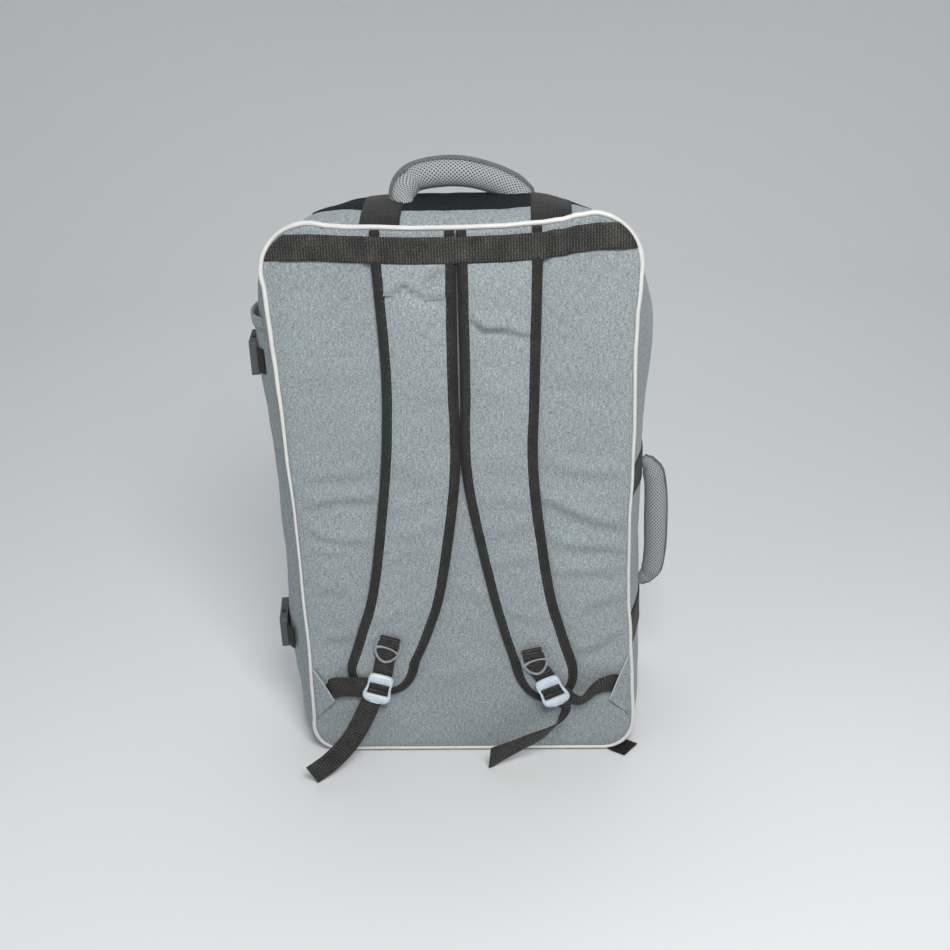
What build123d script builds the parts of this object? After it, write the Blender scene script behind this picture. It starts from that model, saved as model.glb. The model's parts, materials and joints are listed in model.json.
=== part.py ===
from build123d import *
import os
from math import cos, radians, sin

# Cabin flight bag: a backpack with a padded back panel, a clamshell front on a side hinge,
# a top handle, a side handle, two shoulder straps and two compression straps on its left side.
# Frame: origin at the centre of the base, +Z up, the back panel faces -Y, the front faces +Y.

os.makedirs("parts", exist_ok=True)

# ---------------------------------------------------------------- driving dimensions
panel_width = 342.0          # piping to piping across the back panel
panel_height = 560.0         # floor to the top of the back panel
back_y = -105.0              # outer face of the back panel
panel_thickness = 10.0
ring_back_y = -94.5          # rear edge of the main gusset
belly_y = -18.0              # depth where the gusset bulges most
ring_front_y = 56.0          # front edge of the main gusset
zip_y = 60.5                 # depth of the main zipper and of the clamshell hinge
flap_back_y = 65.0           # rear edge of the front shell
flap_front_y = 101.0         # outer face of the front panel
fabric = 3.0                 # outer fabric, foam and lining together
front_height = 545.0         # floor to the top of the softer front
top_radius = 56.0            # upper corners of the back panel
belly_radius = 130.0         # upper corners where the gusset bulges most
front_radius = 100.0         # upper corners of the front
bottom_radius = 36.0
piping_radius = 2.8
piping_inset = 3.6           # from the piping's centre line to the fabric beside it
floor_gap = 2.0              # clearance of the front shell above the floor
gap = 0.4                    # clearance between neighbouring pieces
webbing = 25.0               # narrow webbing width
anchor_webbing = 36.0        # handle anchor webbing width
web = 1.6                    # webbing thickness
hinge_x = -176.0             # upright hinge line of the clamshell front
half = panel_width / 2

# gusset stations: depth, left reach, right reach, height, radius of the upper corners
gusset_stations = [
    (ring_back_y, half - 1, half - 1, panel_height - 3, top_radius),
    (belly_y, half + 25, half + 8, panel_height + 6, belly_radius),
    (ring_front_y, half + 9, half + 6, front_height, front_radius),
]


# ---------------------------------------------------------------- helpers
def at_depth(y):
    """Upright plane at depth y: local x is +X, local y is +Z, the normal is -Y."""
    return Plane.XZ.offset(-y)


def rounded(left, right, bottom, top, upper=top_radius, lower=bottom_radius):
    """Face of an upright panel with rounded corners, reaching left and right of the middle."""
    with BuildSketch() as panel:
        with Locations(((right - left) / 2, (bottom + top) / 2)):
            Rectangle(left + right, top - bottom)
        fillet(panel.vertices().group_by(Axis.Y)[-1], upper)
        fillet(panel.vertices().group_by(Axis.Y)[0], lower)
    return panel.sketch


def gusset_form(grow, bottom):
    """Solid inside of the bulging gusset, grown outwards all round except at its bottom."""
    with BuildPart() as form:
        for y, left, right, top, radius in gusset_stations:
            with BuildSketch(at_depth(y)):
                add(rounded(left + grow, right + grow, bottom, top + grow, radius))
        loft()
    return form.part


def bar(x, y, z):
    """Box given by three (low, high) pairs."""
    with BuildPart() as block:
        with Locations(((x[0] + x[1]) / 2, (y[0] + y[1]) / 2, (z[0] + z[1]) / 2)):
            Box(x[1] - x[0], y[1] - y[0], z[1] - z[0])
    return block.part


def plate(face, y_back, y_front):
    """Upright plate of one face between two depths, y_back being the smaller."""
    with BuildPart() as sheet:
        with BuildSketch(at_depth(y_front)):
            add(face)
        extrude(amount=y_front - y_back)
    return sheet.part


def piping_ring(reach, bottom, top, y, upper=top_radius):
    """Piping cord in a closed loop around a panel."""
    with BuildPart() as cord:
        with BuildLine(at_depth(y)) as loop:
            FilletPolyline(
                (reach, bottom), (reach, top), (-reach, top), (-reach, bottom),
                radius=[bottom_radius, upper, upper, bottom_radius],
                close=True,
            )
        with BuildSketch(Plane(origin=loop.line @ 0, z_dir=loop.line % 0)):
            Circle(piping_radius)
        sweep()
    return cord.part


def save(part, name):
    part.label = name
    export_step(part, f"parts/{name}.step")


# ---------------------------------------------------------------- back panel
panel_face = rounded(half - piping_inset, half - piping_inset, 7.6, panel_height - piping_inset)
save(plate(panel_face, back_y, back_y + panel_thickness), "back_panel")

stiffener_face = rounded(half - 14, half - 14, 18, panel_height - 16)
save(plate(stiffener_face, ring_back_y, ring_back_y + 1.5), "back_frame_sheet")

save(piping_ring(half, 4.0, panel_height, back_y + 6), "back_piping")

# ---------------------------------------------------------------- main gusset and base
outer_form = gusset_form(0, -8)
inner_form = gusset_form(-fabric, fabric)
with BuildPart() as main_gusset:
    add(outer_form)
    add(inner_form, mode=Mode.SUBTRACT)
    split(bisect_by=Plane.XY, keep=Keep.TOP)
save(main_gusset.part, "main_gusset")

with BuildPart() as bottom_board:
    with BuildSketch(Plane.XY.offset(fabric + gap)):
        with Locations((0, (ring_back_y + ring_front_y) / 2)):
            RectangleRounded(260, 138, 12)
    extrude(amount=3)
save(bottom_board.part, "bottom_board")


# ---------------------------------------------------------------- pieces lying on the gusset
def on_gusset(lift, thickness, region):
    """Skin that follows the gusset, cut to the region where it is sewn on."""
    with BuildPart() as skin:
        add(gusset_form(lift + thickness, -8))
        add(gusset_form(lift, -8), mode=Mode.SUBTRACT)
        add(region, mode=Mode.INTERSECT)
    return skin.part


anchor_depths = (ring_back_y + 1, ring_front_y - 3)
top_anchor_x = {"left": -64.0, "right": 88.0}
for side, x in top_anchor_x.items():
    reach = (x - anchor_webbing / 2, x + anchor_webbing / 2)
    band = on_gusset(gap, web, bar(reach, anchor_depths, (500, 600)))
    save(band, f"top_handle_anchor_{side}")

side_anchor_z = {"upper": 298.0, "lower": 137.0}
for level, z in side_anchor_z.items():
    reach = (z - anchor_webbing / 2, z + anchor_webbing / 2)
    band = on_gusset(gap, web, bar((120, 240), anchor_depths, reach))
    save(band, f"side_handle_anchor_{level}")

pocket_region = bar((-240, -120), (-74, 44), (62, 468))
save(on_gusset(gap, web, pocket_region), "side_slip_pocket")

# ---------------------------------------------------------------- main zipper and hinge strip
tape_reach = half + 5.5
tape_top = front_height - 0.5
tape_thick = 2.0
hinge_span = (bottom_radius + 2, front_height - front_radius - 2)
swing_span = (bottom_radius - 5, front_height - front_radius + 9)


def zipper_ring(bottom, y, missing):
    """Zipper tape around the bag, left out along the hinge over the missing heights."""
    with BuildPart() as tape:
        with BuildSketch(at_depth(y + 4)):
            add(rounded(tape_reach, tape_reach, bottom, tape_top, front_radius))
            inner_reach = tape_reach - tape_thick
            inner_top = tape_top - tape_thick
            inner_radius = front_radius - tape_thick
            inner = rounded(inner_reach, inner_reach, bottom + tape_thick, inner_top, inner_radius)
            add(inner, mode=Mode.SUBTRACT)
        extrude(amount=4)
        add(bar((-200, -150), (y - 1, y + 5), missing), mode=Mode.SUBTRACT)
    return tape.part


save(zipper_ring(1.0, ring_front_y + 0.2, hinge_span), "main_zipper_rear_tape")
save(zipper_ring(floor_gap, flap_back_y - 4.2, swing_span), "main_zipper_front_tape")

hinge_strip = bar((hinge_x - 2, hinge_x - 0.3), (ring_front_y + 0.2, zip_y - 0.3), hinge_span)
save(hinge_strip, "hinge_strip")

# ---------------------------------------------------------------- clamshell front
flap_stations = [
    (flap_back_y, half + 5.5, floor_gap, front_height - 1, front_radius),
    (flap_front_y, half - 3.5, floor_gap + 8, front_height - 10, front_radius - 8),
]


def flap_form(grow, front_y):
    """Solid inside of the front shell, as far as the given front depth."""
    with BuildPart() as form:
        for y, reach, bottom, top, radius in flap_stations:
            depth = min(y, front_y)
            with BuildSketch(at_depth(depth)):
                add(rounded(reach + grow, reach + grow, bottom - grow, top + grow, radius))
        loft()
    return form.part


with BuildPart() as front_shell:
    add(flap_form(0, flap_front_y))
    add(flap_form(-fabric, flap_front_y - fabric), mode=Mode.SUBTRACT)
save(front_shell.part, "front_shell")

front_piping_radius = front_radius - 4
front_piping_top = front_height - 5.5
front_loop = piping_ring(half + 1.2, 6.4, front_piping_top, flap_front_y - 2.5, front_piping_radius)
save(front_loop, "front_piping")

front_pockets = {"lower": (40.0, 285.0, 20.0), "upper": (303.0, 503.0, 16.0)}
pocket_half = 142.0
for level, (bottom, top, depth) in front_pockets.items():
    back = flap_front_y + gap
    with BuildPart() as pocket:
        with BuildSketch(at_depth(back)):
            add(rounded(pocket_half, pocket_half, bottom, top, 26, 26))
        with BuildSketch(at_depth(back + depth)):
            add(rounded(pocket_half - 6, pocket_half - 6, bottom + 6, top - 6, 22, 22))
        loft()
        with BuildSketch(at_depth(back)):
            add(rounded(pocket_half - 2.5, pocket_half - 2.5, bottom + 2.5, top - 2.5, 24, 24))
        with BuildSketch(at_depth(back + depth - 2)):
            add(rounded(pocket_half - 8, pocket_half - 8, bottom + 8, top - 8, 20, 20))
        loft(mode=Mode.SUBTRACT)
    save(pocket.part, f"{level}_front_pocket")
    face_y = back + depth + gap
    save(bar((-118, 118), (face_y, face_y + 1.2), (top - 28, top - 12)), f"{level}_pocket_zipper")


# ---------------------------------------------------------------- zipper sliders and pulls
def slider(x, y, z, axis):
    """Zipper slider, a small saddle with a bridge on top, sitting on the side named by axis."""
    base = Plane(origin=(x, y, z), x_dir=(1, 0, 0), z_dir=axis)
    with BuildPart() as saddle:
        with BuildSketch(base):
            RectangleRounded(9, 8, 2)
        extrude(amount=2.4)
        with BuildSketch(base.offset(2.4)):
            RectangleRounded(3, 6, 1)
        extrude(amount=1.8)
    return saddle.part


def pull_tab(x, y, z, axis):
    """Zipper pull: a flat tab with an eye, lying on the plane whose normal is axis."""
    lying = Plane(origin=(x, y, z), x_dir=(1, 0, 0), z_dir=axis)
    with BuildPart() as tab:
        with BuildSketch(lying):
            SlotOverall(30, 7, rotation=90)
            with Locations((0, -11)):
                Circle(1.6, mode=Mode.SUBTRACT)
        extrude(amount=1.8)
    return tab.part


slider_z = tape_top + gap
slider_x = {"left": -14.0, "right": 14.0}
for side, x in slider_x.items():
    save(slider(x, zip_y, slider_z, (0, 0, 1)), f"main_slider_{side}")
    save(pull_tab(x, zip_y + 20, slider_z + 4.4, (0, 0, 1)), f"main_pull_{side}")

for level, (bottom, top, depth) in front_pockets.items():
    face_y = flap_front_y + depth + 3 * gap + 1.2
    save(slider(-100, face_y, top - 20, (0, 1, 0)), f"{level}_pocket_slider")
    save(pull_tab(-100, face_y + 4.4, top - 40, (0, 1, 0)), f"{level}_pocket_pull")

# ---------------------------------------------------------------- strap roots and top band
strap_hinge_z = 521.0
root_front = back_y - gap - 4.5
root_reach = {"left": (-73.0, 2.0), "right": (4.0, 79.0)}
for side, (low, high) in root_reach.items():
    root_block = bar((low, high), (root_front, back_y - gap), (strap_hinge_z + 3, panel_height - 5))
    save(root_block, f"{side}_strap_root")

band_height = 24.0
band_front = root_front - gap
with BuildPart() as back_band:
    with BuildSketch(Plane.XY.offset(strap_hinge_z + 2)):
        with BuildLine():
            Polyline(
                (6 - half, back_y - gap), (-82, back_y - gap), (-76, band_front),
                (82, band_front), (88, back_y - gap), (half - 6, back_y - gap),
                (half - 6, back_y - gap - web), (89, back_y - gap - web), (83, band_front - web),
                (-77, band_front - web), (-83, back_y - gap - web), (6 - half, back_y - gap - web),
                close=True,
            )
        make_face()
    extrude(amount=band_height)
    add(plate(panel_face, back_y - 20, back_y), mode=Mode.INTERSECT)
save(back_band.part, "back_band")

# ---------------------------------------------------------------- shoulder straps
# Each edge is (x, z) from the top band down; the inner edge is beside the other strap.
strap_edges = {
    "left": {
        "outer": [(-73, 520), (-70, 449), (-71, 398), (-78, 317), (-96, 203), (-125, 113)],
        "inner": [(2, 520), (0, 449), (-1, 398), (-3, 317), (-21, 203), (-53, 113)],
        "end": (-93, 79),
    },
    "right": {
        "outer": [(79, 520), (76, 449), (74, 398), (72, 317), (84, 203), (107, 113)],
        "inner": [(4, 520), (3, 449), (2, 398), (1, 317), (20, 203), (38, 113)],
        "end": (82, 66),
    },
}
pad_back = back_y - 1.0
pad_front = pad_back - 9.0
binding_width = 8.0
binding_thick = 7.0


def strap_face(edges, inset):
    """Outline of one padded strap with a rounded lower end, moved inwards by the inset."""
    inwards = inset if edges["outer"][0][0] < edges["inner"][0][0] else -inset
    outer_points = [(x + inwards, z) for x, z in edges["outer"]]
    inner_points = [(x - inwards, z) for x, z in edges["inner"]]
    outer_points[0] = (outer_points[0][0], outer_points[0][1] - inset)
    inner_points[0] = (inner_points[0][0], inner_points[0][1] - inset)
    end_x, end_z = edges["end"]
    with BuildSketch() as face:
        with BuildLine():
            outer_edge = Spline(*outer_points)
            inner_edge = Spline(*inner_points)
            Line(outer_edge @ 0, inner_edge @ 0)
            Spline(
                outer_edge @ 1, (end_x, end_z + inset), inner_edge @ 1,
                tangents=(outer_edge % 1, -(inner_edge % 1)),
            )
        make_face()
    return face.sketch


for side, edges in strap_edges.items():
    with BuildPart() as strap_pad:
        with BuildSketch(at_depth(pad_back)):
            add(strap_face(edges, binding_width + gap))
        extrude(amount=pad_back - pad_front)
    save(strap_pad.part, f"{side}_strap_pad")
    with BuildPart() as strap_binding:
        with BuildSketch(at_depth(pad_back)):
            add(strap_face(edges, 0))
            add(strap_face(edges, binding_width), mode=Mode.SUBTRACT)
        extrude(amount=binding_thick)
    save(strap_binding.part, f"{side}_strap_binding")

# ---------------------------------------------------------------- strap hardware
# Lean of the ring and of the lock from upright, the lower end towards the bag's side.
hardware = {
    "left": {"lock": (-94.0, 91.0), "ring": (-82.5, 135.0), "ring_lean": -17.0, "lean": -17.0},
    "right": {"lock": (83.0, 86.0), "ring": (65.8, 119.5), "ring_lean": 12.0, "lean": 25.0},
}
lock_width = 33.0
lock_height = 37.0
lock_depth = 5.0
lock_seat = 4.8              # depth in front of the strap webbing, taken by adjuster and tail
ring_width = 27.0
ring_height = 26.0
ring_bar = 2.6
strip_front = pad_front - gap - web
ring_play = 0.9              # room for the ring's bar to turn in its loop
ring_back = strip_front - ring_play
ring_thick = 2.6


def leaning(x, z, y, lean):
    """Upright plane facing -Y at (x, y, z), turned so that its down direction leans sideways."""
    across = (cos(radians(lean)), 0, sin(radians(lean)))
    return Plane(origin=(x, y, z), x_dir=across, z_dir=(0, -1, 0))


for side, place in hardware.items():
    lock_x, lock_z = place["lock"]
    ring_x, ring_z = place["ring"]
    lean = place["lean"]
    ring_plane = leaning(ring_x, ring_z, ring_back, place["ring_lean"])

    # Webbing sewn to the pad: a strip down to the lock and a loop over the ring's top bar.
    side_profile = Plane(
        origin=ring_plane.origin, x_dir=(0, -1, 0),
        z_dir=(-ring_plane.x_dir.X, 0, -ring_plane.x_dir.Z),
    )
    strip_top = ring_height / 2 + 5
    strip_bottom = -ring_height / 2 - 16
    loop_back = ring_thick + ring_play
    with BuildPart() as strap_webbing:
        with BuildSketch(side_profile):
            with BuildLine():
                Polyline(
                    (-ring_play, strip_bottom), (-ring_play, strip_top - web), (loop_back, strip_top - web),
                    (loop_back, 5), (loop_back + web, 5),
                    (loop_back + web, strip_top), (-ring_play - web, strip_top),
                    (-ring_play - web, strip_bottom), close=True,
                )
            make_face()
        extrude(amount=webbing / 2 - 2.5, both=True)
    save(strap_webbing.part, f"{side}_strap_webbing")

    # D-ring: straight top bar, rounded lower bow and a curved cross bar.
    with BuildPart() as d_ring:
        with BuildSketch(ring_plane):
            with BuildLine():
                FilletPolyline(
                    (-ring_width / 2, ring_height / 2), (ring_width / 2, ring_height / 2),
                    (ring_width / 2 - 1, -2), (0, -ring_height / 2 - 5), (1 - ring_width / 2, -2),
                    radius=[4, 4, 9, 9, 9], close=True,
                )
            make_face()
            offset(amount=-ring_bar, mode=Mode.SUBTRACT)
        extrude(amount=ring_thick)
        with BuildSketch(ring_plane):
            with BuildLine():
                ThreePointArc((-ring_width / 2 + 2, -1.5), (0, 1.8), (ring_width / 2 - 2, -1.5))
            trace(line_width=2.2)
        extrude(amount=ring_thick)
    save(d_ring.part, f"{side}_d_ring")

    # Ladder lock: top plate, two slots around the middle bar and a ribbed thumb lip.
    lock_plane = leaning(lock_x, lock_z, strip_front - gap - lock_seat, lean)
    with BuildPart() as ladder_lock:
        with BuildSketch(lock_plane):
            with BuildLine():
                FilletPolyline(
                    (-lock_width / 2 + 2, lock_height / 2), (lock_width / 2 - 2, lock_height / 2),
                    (lock_width / 2, -6), (lock_width / 2 - 6, -lock_height / 2),
                    (6 - lock_width / 2, -lock_height / 2), (-lock_width / 2, -6),
                    radius=5, close=True,
                )
            make_face()
            with Locations((0, 5.2), (0, -4.4)):
                Rectangle(webbing - 0.6, 5.6, mode=Mode.SUBTRACT)
        extrude(amount=lock_depth)
        top_edges = ladder_lock.faces().sort_by(Axis.Y)[0].outer_wire().edges()
        fillet(top_edges, 1.2)
        with BuildSketch(lock_plane.offset(lock_depth)):
            with GridLocations(0, 2.4, 1, 3):
                with Locations((0, -13)):
                    SlotOverall(17, 1.2)
        extrude(amount=0.8)
    save(ladder_lock.part, f"{side}_ladder_lock")

# ---------------------------------------------------------------- adjuster webbing and wings
wing_corners = {
    "left": [(-164.5, 122), (-140, 72), (-164.5, 40)],
    "right": [(164.5, 121), (141, 69), (164.5, 48)],
}
for side, corners in wing_corners.items():
    with BuildPart() as wing:
        with BuildSketch(at_depth(back_y - gap)):
            with BuildLine():
                FilletPolyline(*corners, radius=3, close=True)
            make_face()
        extrude(amount=2)
    save(wing.part, f"{side}_wing")

adjusters = {
    "left": {"start": (-151.0, 78.0), "end": (-95.0, 88.0)},
    "right": {"start": (152.0, 88.0), "end": (88.0, 82.0)},
}
wing_face = back_y - gap - 2 - gap
lock_back = strip_front - gap
for side, run in adjusters.items():
    start = Vector(run["start"][0], 0, run["start"][1])
    end = Vector(run["end"][0], 0, run["end"][1])
    along = (end - start).normalized()
    length = (end - start).length
    up = Vector(-along.Z, 0, along.X) if side == "left" else Vector(along.Z, 0, -along.X)
    lower_edge = Plane(origin=start - up * (webbing / 2 - 1.5), x_dir=along, z_dir=up)
    depth_sign = 1 if lower_edge.y_dir.Y > 0 else -1
    with BuildPart() as adjuster:
        with BuildSketch(lower_edge):
            with BuildLine():
                Polyline(
                    (0, depth_sign * wing_face), (24, depth_sign * lock_back),
                    (length, depth_sign * lock_back), (length, depth_sign * (lock_back - web)),
                    (23.5, depth_sign * (lock_back - web)), (0, depth_sign * (wing_face - web)),
                    close=True,
                )
            make_face()
        extrude(amount=webbing - 3)
    save(adjuster.part, f"{side}_adjuster_webbing")

# ---------------------------------------------------------------- webbing tails
# Stations from the lock down to the free end: centre, then the direction across the webbing.
tails = {
    "left": [
        ((-94.5, -120.6, 89), (1, 0, -0.3)),
        ((-99, -120.8, 74), (1, 0, -0.3)),
        ((-103, -123.5, 63), (1, 0, -0.4)),
        ((-110, -130, 51), (1, 0, -0.6)),
        ((-122, -138, 36), (0.8, 0.1, -0.8)),
        ((-142, -149, 22), (0.5, 0.15, -0.9)),
        ((-162, -157, 14), (0.3, 0.15, -0.95)),
    ],
    "right": [
        ((84, -120.6, 84), (1, 0, 0.45)),
        ((91, -120.8, 69), (1, 0, 0.45)),
        ((93, -122.6, 58), (1, 0.2, 0.3)),
        ((92, -128, 51), (0.9, 0.5, -0.1)),
        ((80, -131, 38), (0.6, 0.3, -0.8)),
        ((55, -133, 24), (0.4, 0, -0.9)),
        ((20, -133, 14), (0.2, 0, -1)),
    ],
}
for side, stations in tails.items():
    centres = [Vector(*centre) for centre, across in stations]
    with BuildLine() as route:
        middle = Spline(*centres)
    with BuildPart() as tail:
        for number, (centre, across) in enumerate(stations):
            heading = middle.tangent_at(middle.param_at_point(Vector(*centre)))
            with BuildSketch(Plane(origin=centre, x_dir=across, z_dir=heading)):
                Rectangle(webbing - 1, web)
        loft(ruled=True)
    save(tail.part, f"{side}_webbing_tail")

# ---------------------------------------------------------------- carry handles
handle_taper = [(0, 4.5), (0.12, 10.5), (0.3, 12), (0.5, 12), (0.7, 12), (0.88, 10.5), (1, 4.5)]


def handle_solid(path_points, start_tangent, end_tangent, grow):
    """Padded handle: round in section and slimmer towards both sewn ends."""
    with BuildLine():
        path = Spline(*path_points, tangents=(start_tangent, end_tangent))
    with BuildPart() as solid:
        for place, radius in handle_taper:
            with BuildSketch(Plane(origin=path @ place, z_dir=path % place)):
                Circle(radius + grow)
        loft()
    return solid.part


handles = {
    "top": {
        "points": [(-43, belly_y, 572.5), (-12, belly_y, 589), (36, belly_y, 588), (68, belly_y, 572.5)],
        "tangents": ((0.05, 0, 1), (0.35, 0, -1)),
        "cover_side": Plane(origin=(0, belly_y, 590), x_dir=(1, 0, 0), z_dir=(0, 0.8, 0.6)),
    },
    "side": {
        "points": [(184.5, belly_y, 302), (197, belly_y, 262), (197, belly_y, 200), (184.5, belly_y, 158)],
        "tangents": ((0.9, 0, -0.5), (-0.9, 0, -0.5)),
        "cover_side": Plane(origin=(199, belly_y, 230), x_dir=(0, 0, 1), z_dir=(0.8, 0.6, 0)),
    },
}
for place, design in handles.items():
    first, last = design["tangents"]
    core = handle_solid(design["points"], first, last, 0)
    save(core, f"{place}_handle_grip")
    with BuildPart() as cover:
        add(handle_solid(design["points"], first, last, 1.4))
        add(handle_solid(design["points"], first, last, 0.2), mode=Mode.SUBTRACT)
        split(bisect_by=design["cover_side"], keep=Keep.TOP)
    save(cover.part, f"{place}_handle_cover")

# ---------------------------------------------------------------- compression straps
# The buckles lean outwards with the bulging gusset; local x runs forwards along the strap.
buckle_z = {"upper": 424.0, "lower": 121.0}
buckle_lean = 8.0
buckle_start = (-196.0, -56.0)
buckle_wide = 34.0
buckle_thick = 8.0
buckle_wall = 2.2            # floor of the socket
buckle_hollow = 3.8
female_length = 30.0
male_length = 21.0
channel_depth = 1.8          # hollow under the plug, over the webbing that it slides along
front_run = [(-203.1, -3.5), (-202.6, 11), (-198.2, 30), (-190, 49)]
rear_run = [(-190.2, -66), (-196.5, -57.5)]


def strap_ribbon(points, z):
    """Upright webbing ribbon along a run seen from above."""
    with BuildPart() as ribbon:
        with BuildSketch(Plane.XY.offset(z - webbing / 2)):
            with BuildLine():
                if len(points) > 2:
                    Spline(*points)
                else:
                    Line(*points)
            trace(line_width=web)
        extrude(amount=webbing)
    return ribbon.part


for level, z in buckle_z.items():
    forwards = (-sin(radians(buckle_lean)), cos(radians(buckle_lean)), 0)
    outwards = (-cos(radians(buckle_lean)), -sin(radians(buckle_lean)), 0)
    base = Plane(origin=(*buckle_start, z), x_dir=forwards, z_dir=outwards)

    with BuildPart() as female:
        with BuildSketch(base):
            with Locations((female_length / 2, 0)):
                RectangleRounded(female_length, buckle_wide, 3)
            with Locations((4.5, 0)):
                Rectangle(3, webbing + 1, mode=Mode.SUBTRACT)
        extrude(amount=buckle_thick)
        with BuildSketch(base.offset(buckle_wall)):
            with Locations((female_length / 2 + 4.5, 0)):
                Rectangle(female_length - 8, 26)
        extrude(amount=buckle_hollow, mode=Mode.SUBTRACT)
        with BuildSketch(base.offset(buckle_wall)):
            with Locations((19, 0)):
                Rectangle(9, buckle_wide + 2)
        extrude(amount=buckle_hollow, mode=Mode.SUBTRACT)
    save(female.part, f"{level}_buckle_socket")

    male_start = female_length + gap
    with BuildPart() as male:
        with BuildSketch(base):
            with Locations((male_start + male_length / 2, 0)):
                RectangleRounded(male_length, buckle_wide, 3)
            with Locations((male_start + 8, 0), (male_start + 15.5, 0)):
                Rectangle(3.2, webbing + 1, mode=Mode.SUBTRACT)
        extrude(amount=buckle_thick)
        with BuildSketch(base.offset(buckle_wall + 0.5)):
            with Locations((male_start - 8.5, 10.5), (male_start - 8.5, -10.5)):
                RectangleRounded(18, 3.4, 1.2)
            with Locations((male_start - 5.5, 0)):
                RectangleRounded(12, 4, 1.2)
        extrude(amount=buckle_hollow - 1)
        with BuildSketch(base):
            with Locations((male_start + male_length / 2, 0)):
                Rectangle(male_length + 2, webbing + 1)
        extrude(amount=channel_depth, mode=Mode.SUBTRACT)
    save(male.part, f"{level}_buckle_plug")

    save(strap_ribbon(rear_run, z), f"{level}_strap_rear_webbing")
    save(strap_ribbon(front_run, z), f"{level}_strap_front_webbing")

# ---------------------------------------------------------------- corner tab
# The end of the webbing that binds the base seam, lying on the floor at one corner.
tab_outline = [(172, -92), (158.5, -111), (148, -104), (148, -95.2), (162, -95.2)]
with BuildPart() as corner_tab:
    with BuildSketch(Plane.XY.offset(gap)):
        with BuildLine():
            Polyline(*tab_outline, close=True)
        make_face()
    extrude(amount=web)
save(corner_tab.part, "corner_tab")
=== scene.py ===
import json
import math

import bmesh
import bpy
import numpy as np
from mathutils import Matrix, Vector, noise


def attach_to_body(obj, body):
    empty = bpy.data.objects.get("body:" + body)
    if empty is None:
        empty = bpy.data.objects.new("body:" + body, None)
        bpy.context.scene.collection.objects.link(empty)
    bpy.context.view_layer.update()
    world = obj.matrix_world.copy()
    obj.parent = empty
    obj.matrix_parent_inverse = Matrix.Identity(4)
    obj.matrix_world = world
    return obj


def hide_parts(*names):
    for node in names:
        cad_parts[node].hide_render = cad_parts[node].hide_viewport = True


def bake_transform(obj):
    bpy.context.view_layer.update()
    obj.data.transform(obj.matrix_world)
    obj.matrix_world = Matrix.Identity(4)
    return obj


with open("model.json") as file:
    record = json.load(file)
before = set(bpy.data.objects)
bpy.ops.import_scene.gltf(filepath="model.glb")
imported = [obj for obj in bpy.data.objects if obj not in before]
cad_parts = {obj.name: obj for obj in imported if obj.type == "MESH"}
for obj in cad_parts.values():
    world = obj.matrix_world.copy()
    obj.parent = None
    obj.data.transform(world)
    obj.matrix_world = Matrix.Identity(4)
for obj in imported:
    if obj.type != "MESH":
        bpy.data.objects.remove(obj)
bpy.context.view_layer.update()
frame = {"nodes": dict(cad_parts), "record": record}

MM = 0.001
FLOOR_GAP = 0.0006           # least height of the loose tails over the floor, in metres

# ------------------------------------------------------------------ places, in millimetres
HALF = 171.0                 # half of the back panel, to the piping
HEIGHT = 560.0               # of the back panel
PANEL_LOW = 4.0              # lower edge of the back panel
BACK_Y = -105.0              # face of the back panel
SEAM_Y = -98.5               # depth of the back piping
ZIP_FRONT_Y = 65.0           # rear edge of the front shell
FRONT_Y = 101.0              # face of the front panel
R_TOP = 56.0                 # radii of the back panel's corners
R_BOTTOM = 36.0
BAND_LOW = 523.0             # edges of the webbing band across the top
BAND_HIGH = 547.0
WEB_THICK = 1.5


# ------------------------------------------------------------------ small maths
def ease(t):
    t = max(0.0, min(1.0, t))
    return t * t * (3 - 2 * t)


def along(value, stations):
    """Smooth curve through (place, amount) stations, flat beyond its ends."""
    if value <= stations[0][0]:
        return stations[0][1]
    for (a, low), (b, high) in zip(stations, stations[1:]):
        if value <= b:
            return low + (high - low) * ease((value - a) / (b - a))
    return stations[-1][1]


def catmull(points, count):
    """Evenly numbered samples of a smooth curve through the points."""
    pts = [Vector(p) for p in points]
    pts = [2 * pts[0] - pts[1]] + pts + [2 * pts[-1] - pts[-2]]
    spans = len(pts) - 3
    out = []
    for i in range(count):
        u = i / (count - 1) * spans
        k = min(int(u), spans - 1)
        t = u - k
        a, b, c, d = pts[k:k + 4]
        out.append(0.5 * ((2 * b) + (c - a) * t + (2 * a - 5 * b + 4 * c - d) * t * t
                          + (3 * b - a - 3 * c + d) * t ** 3))
    return out


def fuzz(x, y, z, scale):
    """Smooth noise from -1 to 1, its features about scale millimetres across."""
    return noise.noise(Vector((x / scale, y / scale, z / scale)))


def rounded_gap(x, z, left, right, bottom, top, r_top=R_TOP, r_bottom=R_BOTTOM):
    """Distance inwards from the edge of a rounded panel."""
    middle = (right - left) / 2
    half = (left + right) / 2
    r = r_top if z > (bottom + top) / 2 else r_bottom
    qx = abs(x - middle) - (half - r)
    qz = (z - (top - r)) if z > (bottom + top) / 2 else ((bottom + r) - z)
    if qx > 0 and qz > 0:
        return r - math.hypot(qx, qz)
    return r - max(qx, qz)


# ------------------------------------------------------------------ mesh making
def make_object(name, verts, faces, weave, material, smooth=True):
    """Mesh object from millimetre points, with its cloth coordinates on the face corners."""
    mesh = bpy.data.meshes.new(name)
    mesh.from_pydata([tuple(c * MM for c in v) for v in verts], [], faces)
    layer = mesh.attributes.new("weave", "FLOAT_VECTOR", "CORNER")
    flat = [c for corners in weave for u, v in corners for c in (u * MM, v * MM, 0.0)]
    layer.data.foreach_set("vector", flat)
    if smooth:
        mesh.polygons.foreach_set("use_smooth", [True] * len(mesh.polygons))
    mesh.update()
    mesh.materials.append(material)
    obj = bpy.data.objects.new(name, mesh)
    bpy.context.scene.collection.objects.link(obj)
    return obj


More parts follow.
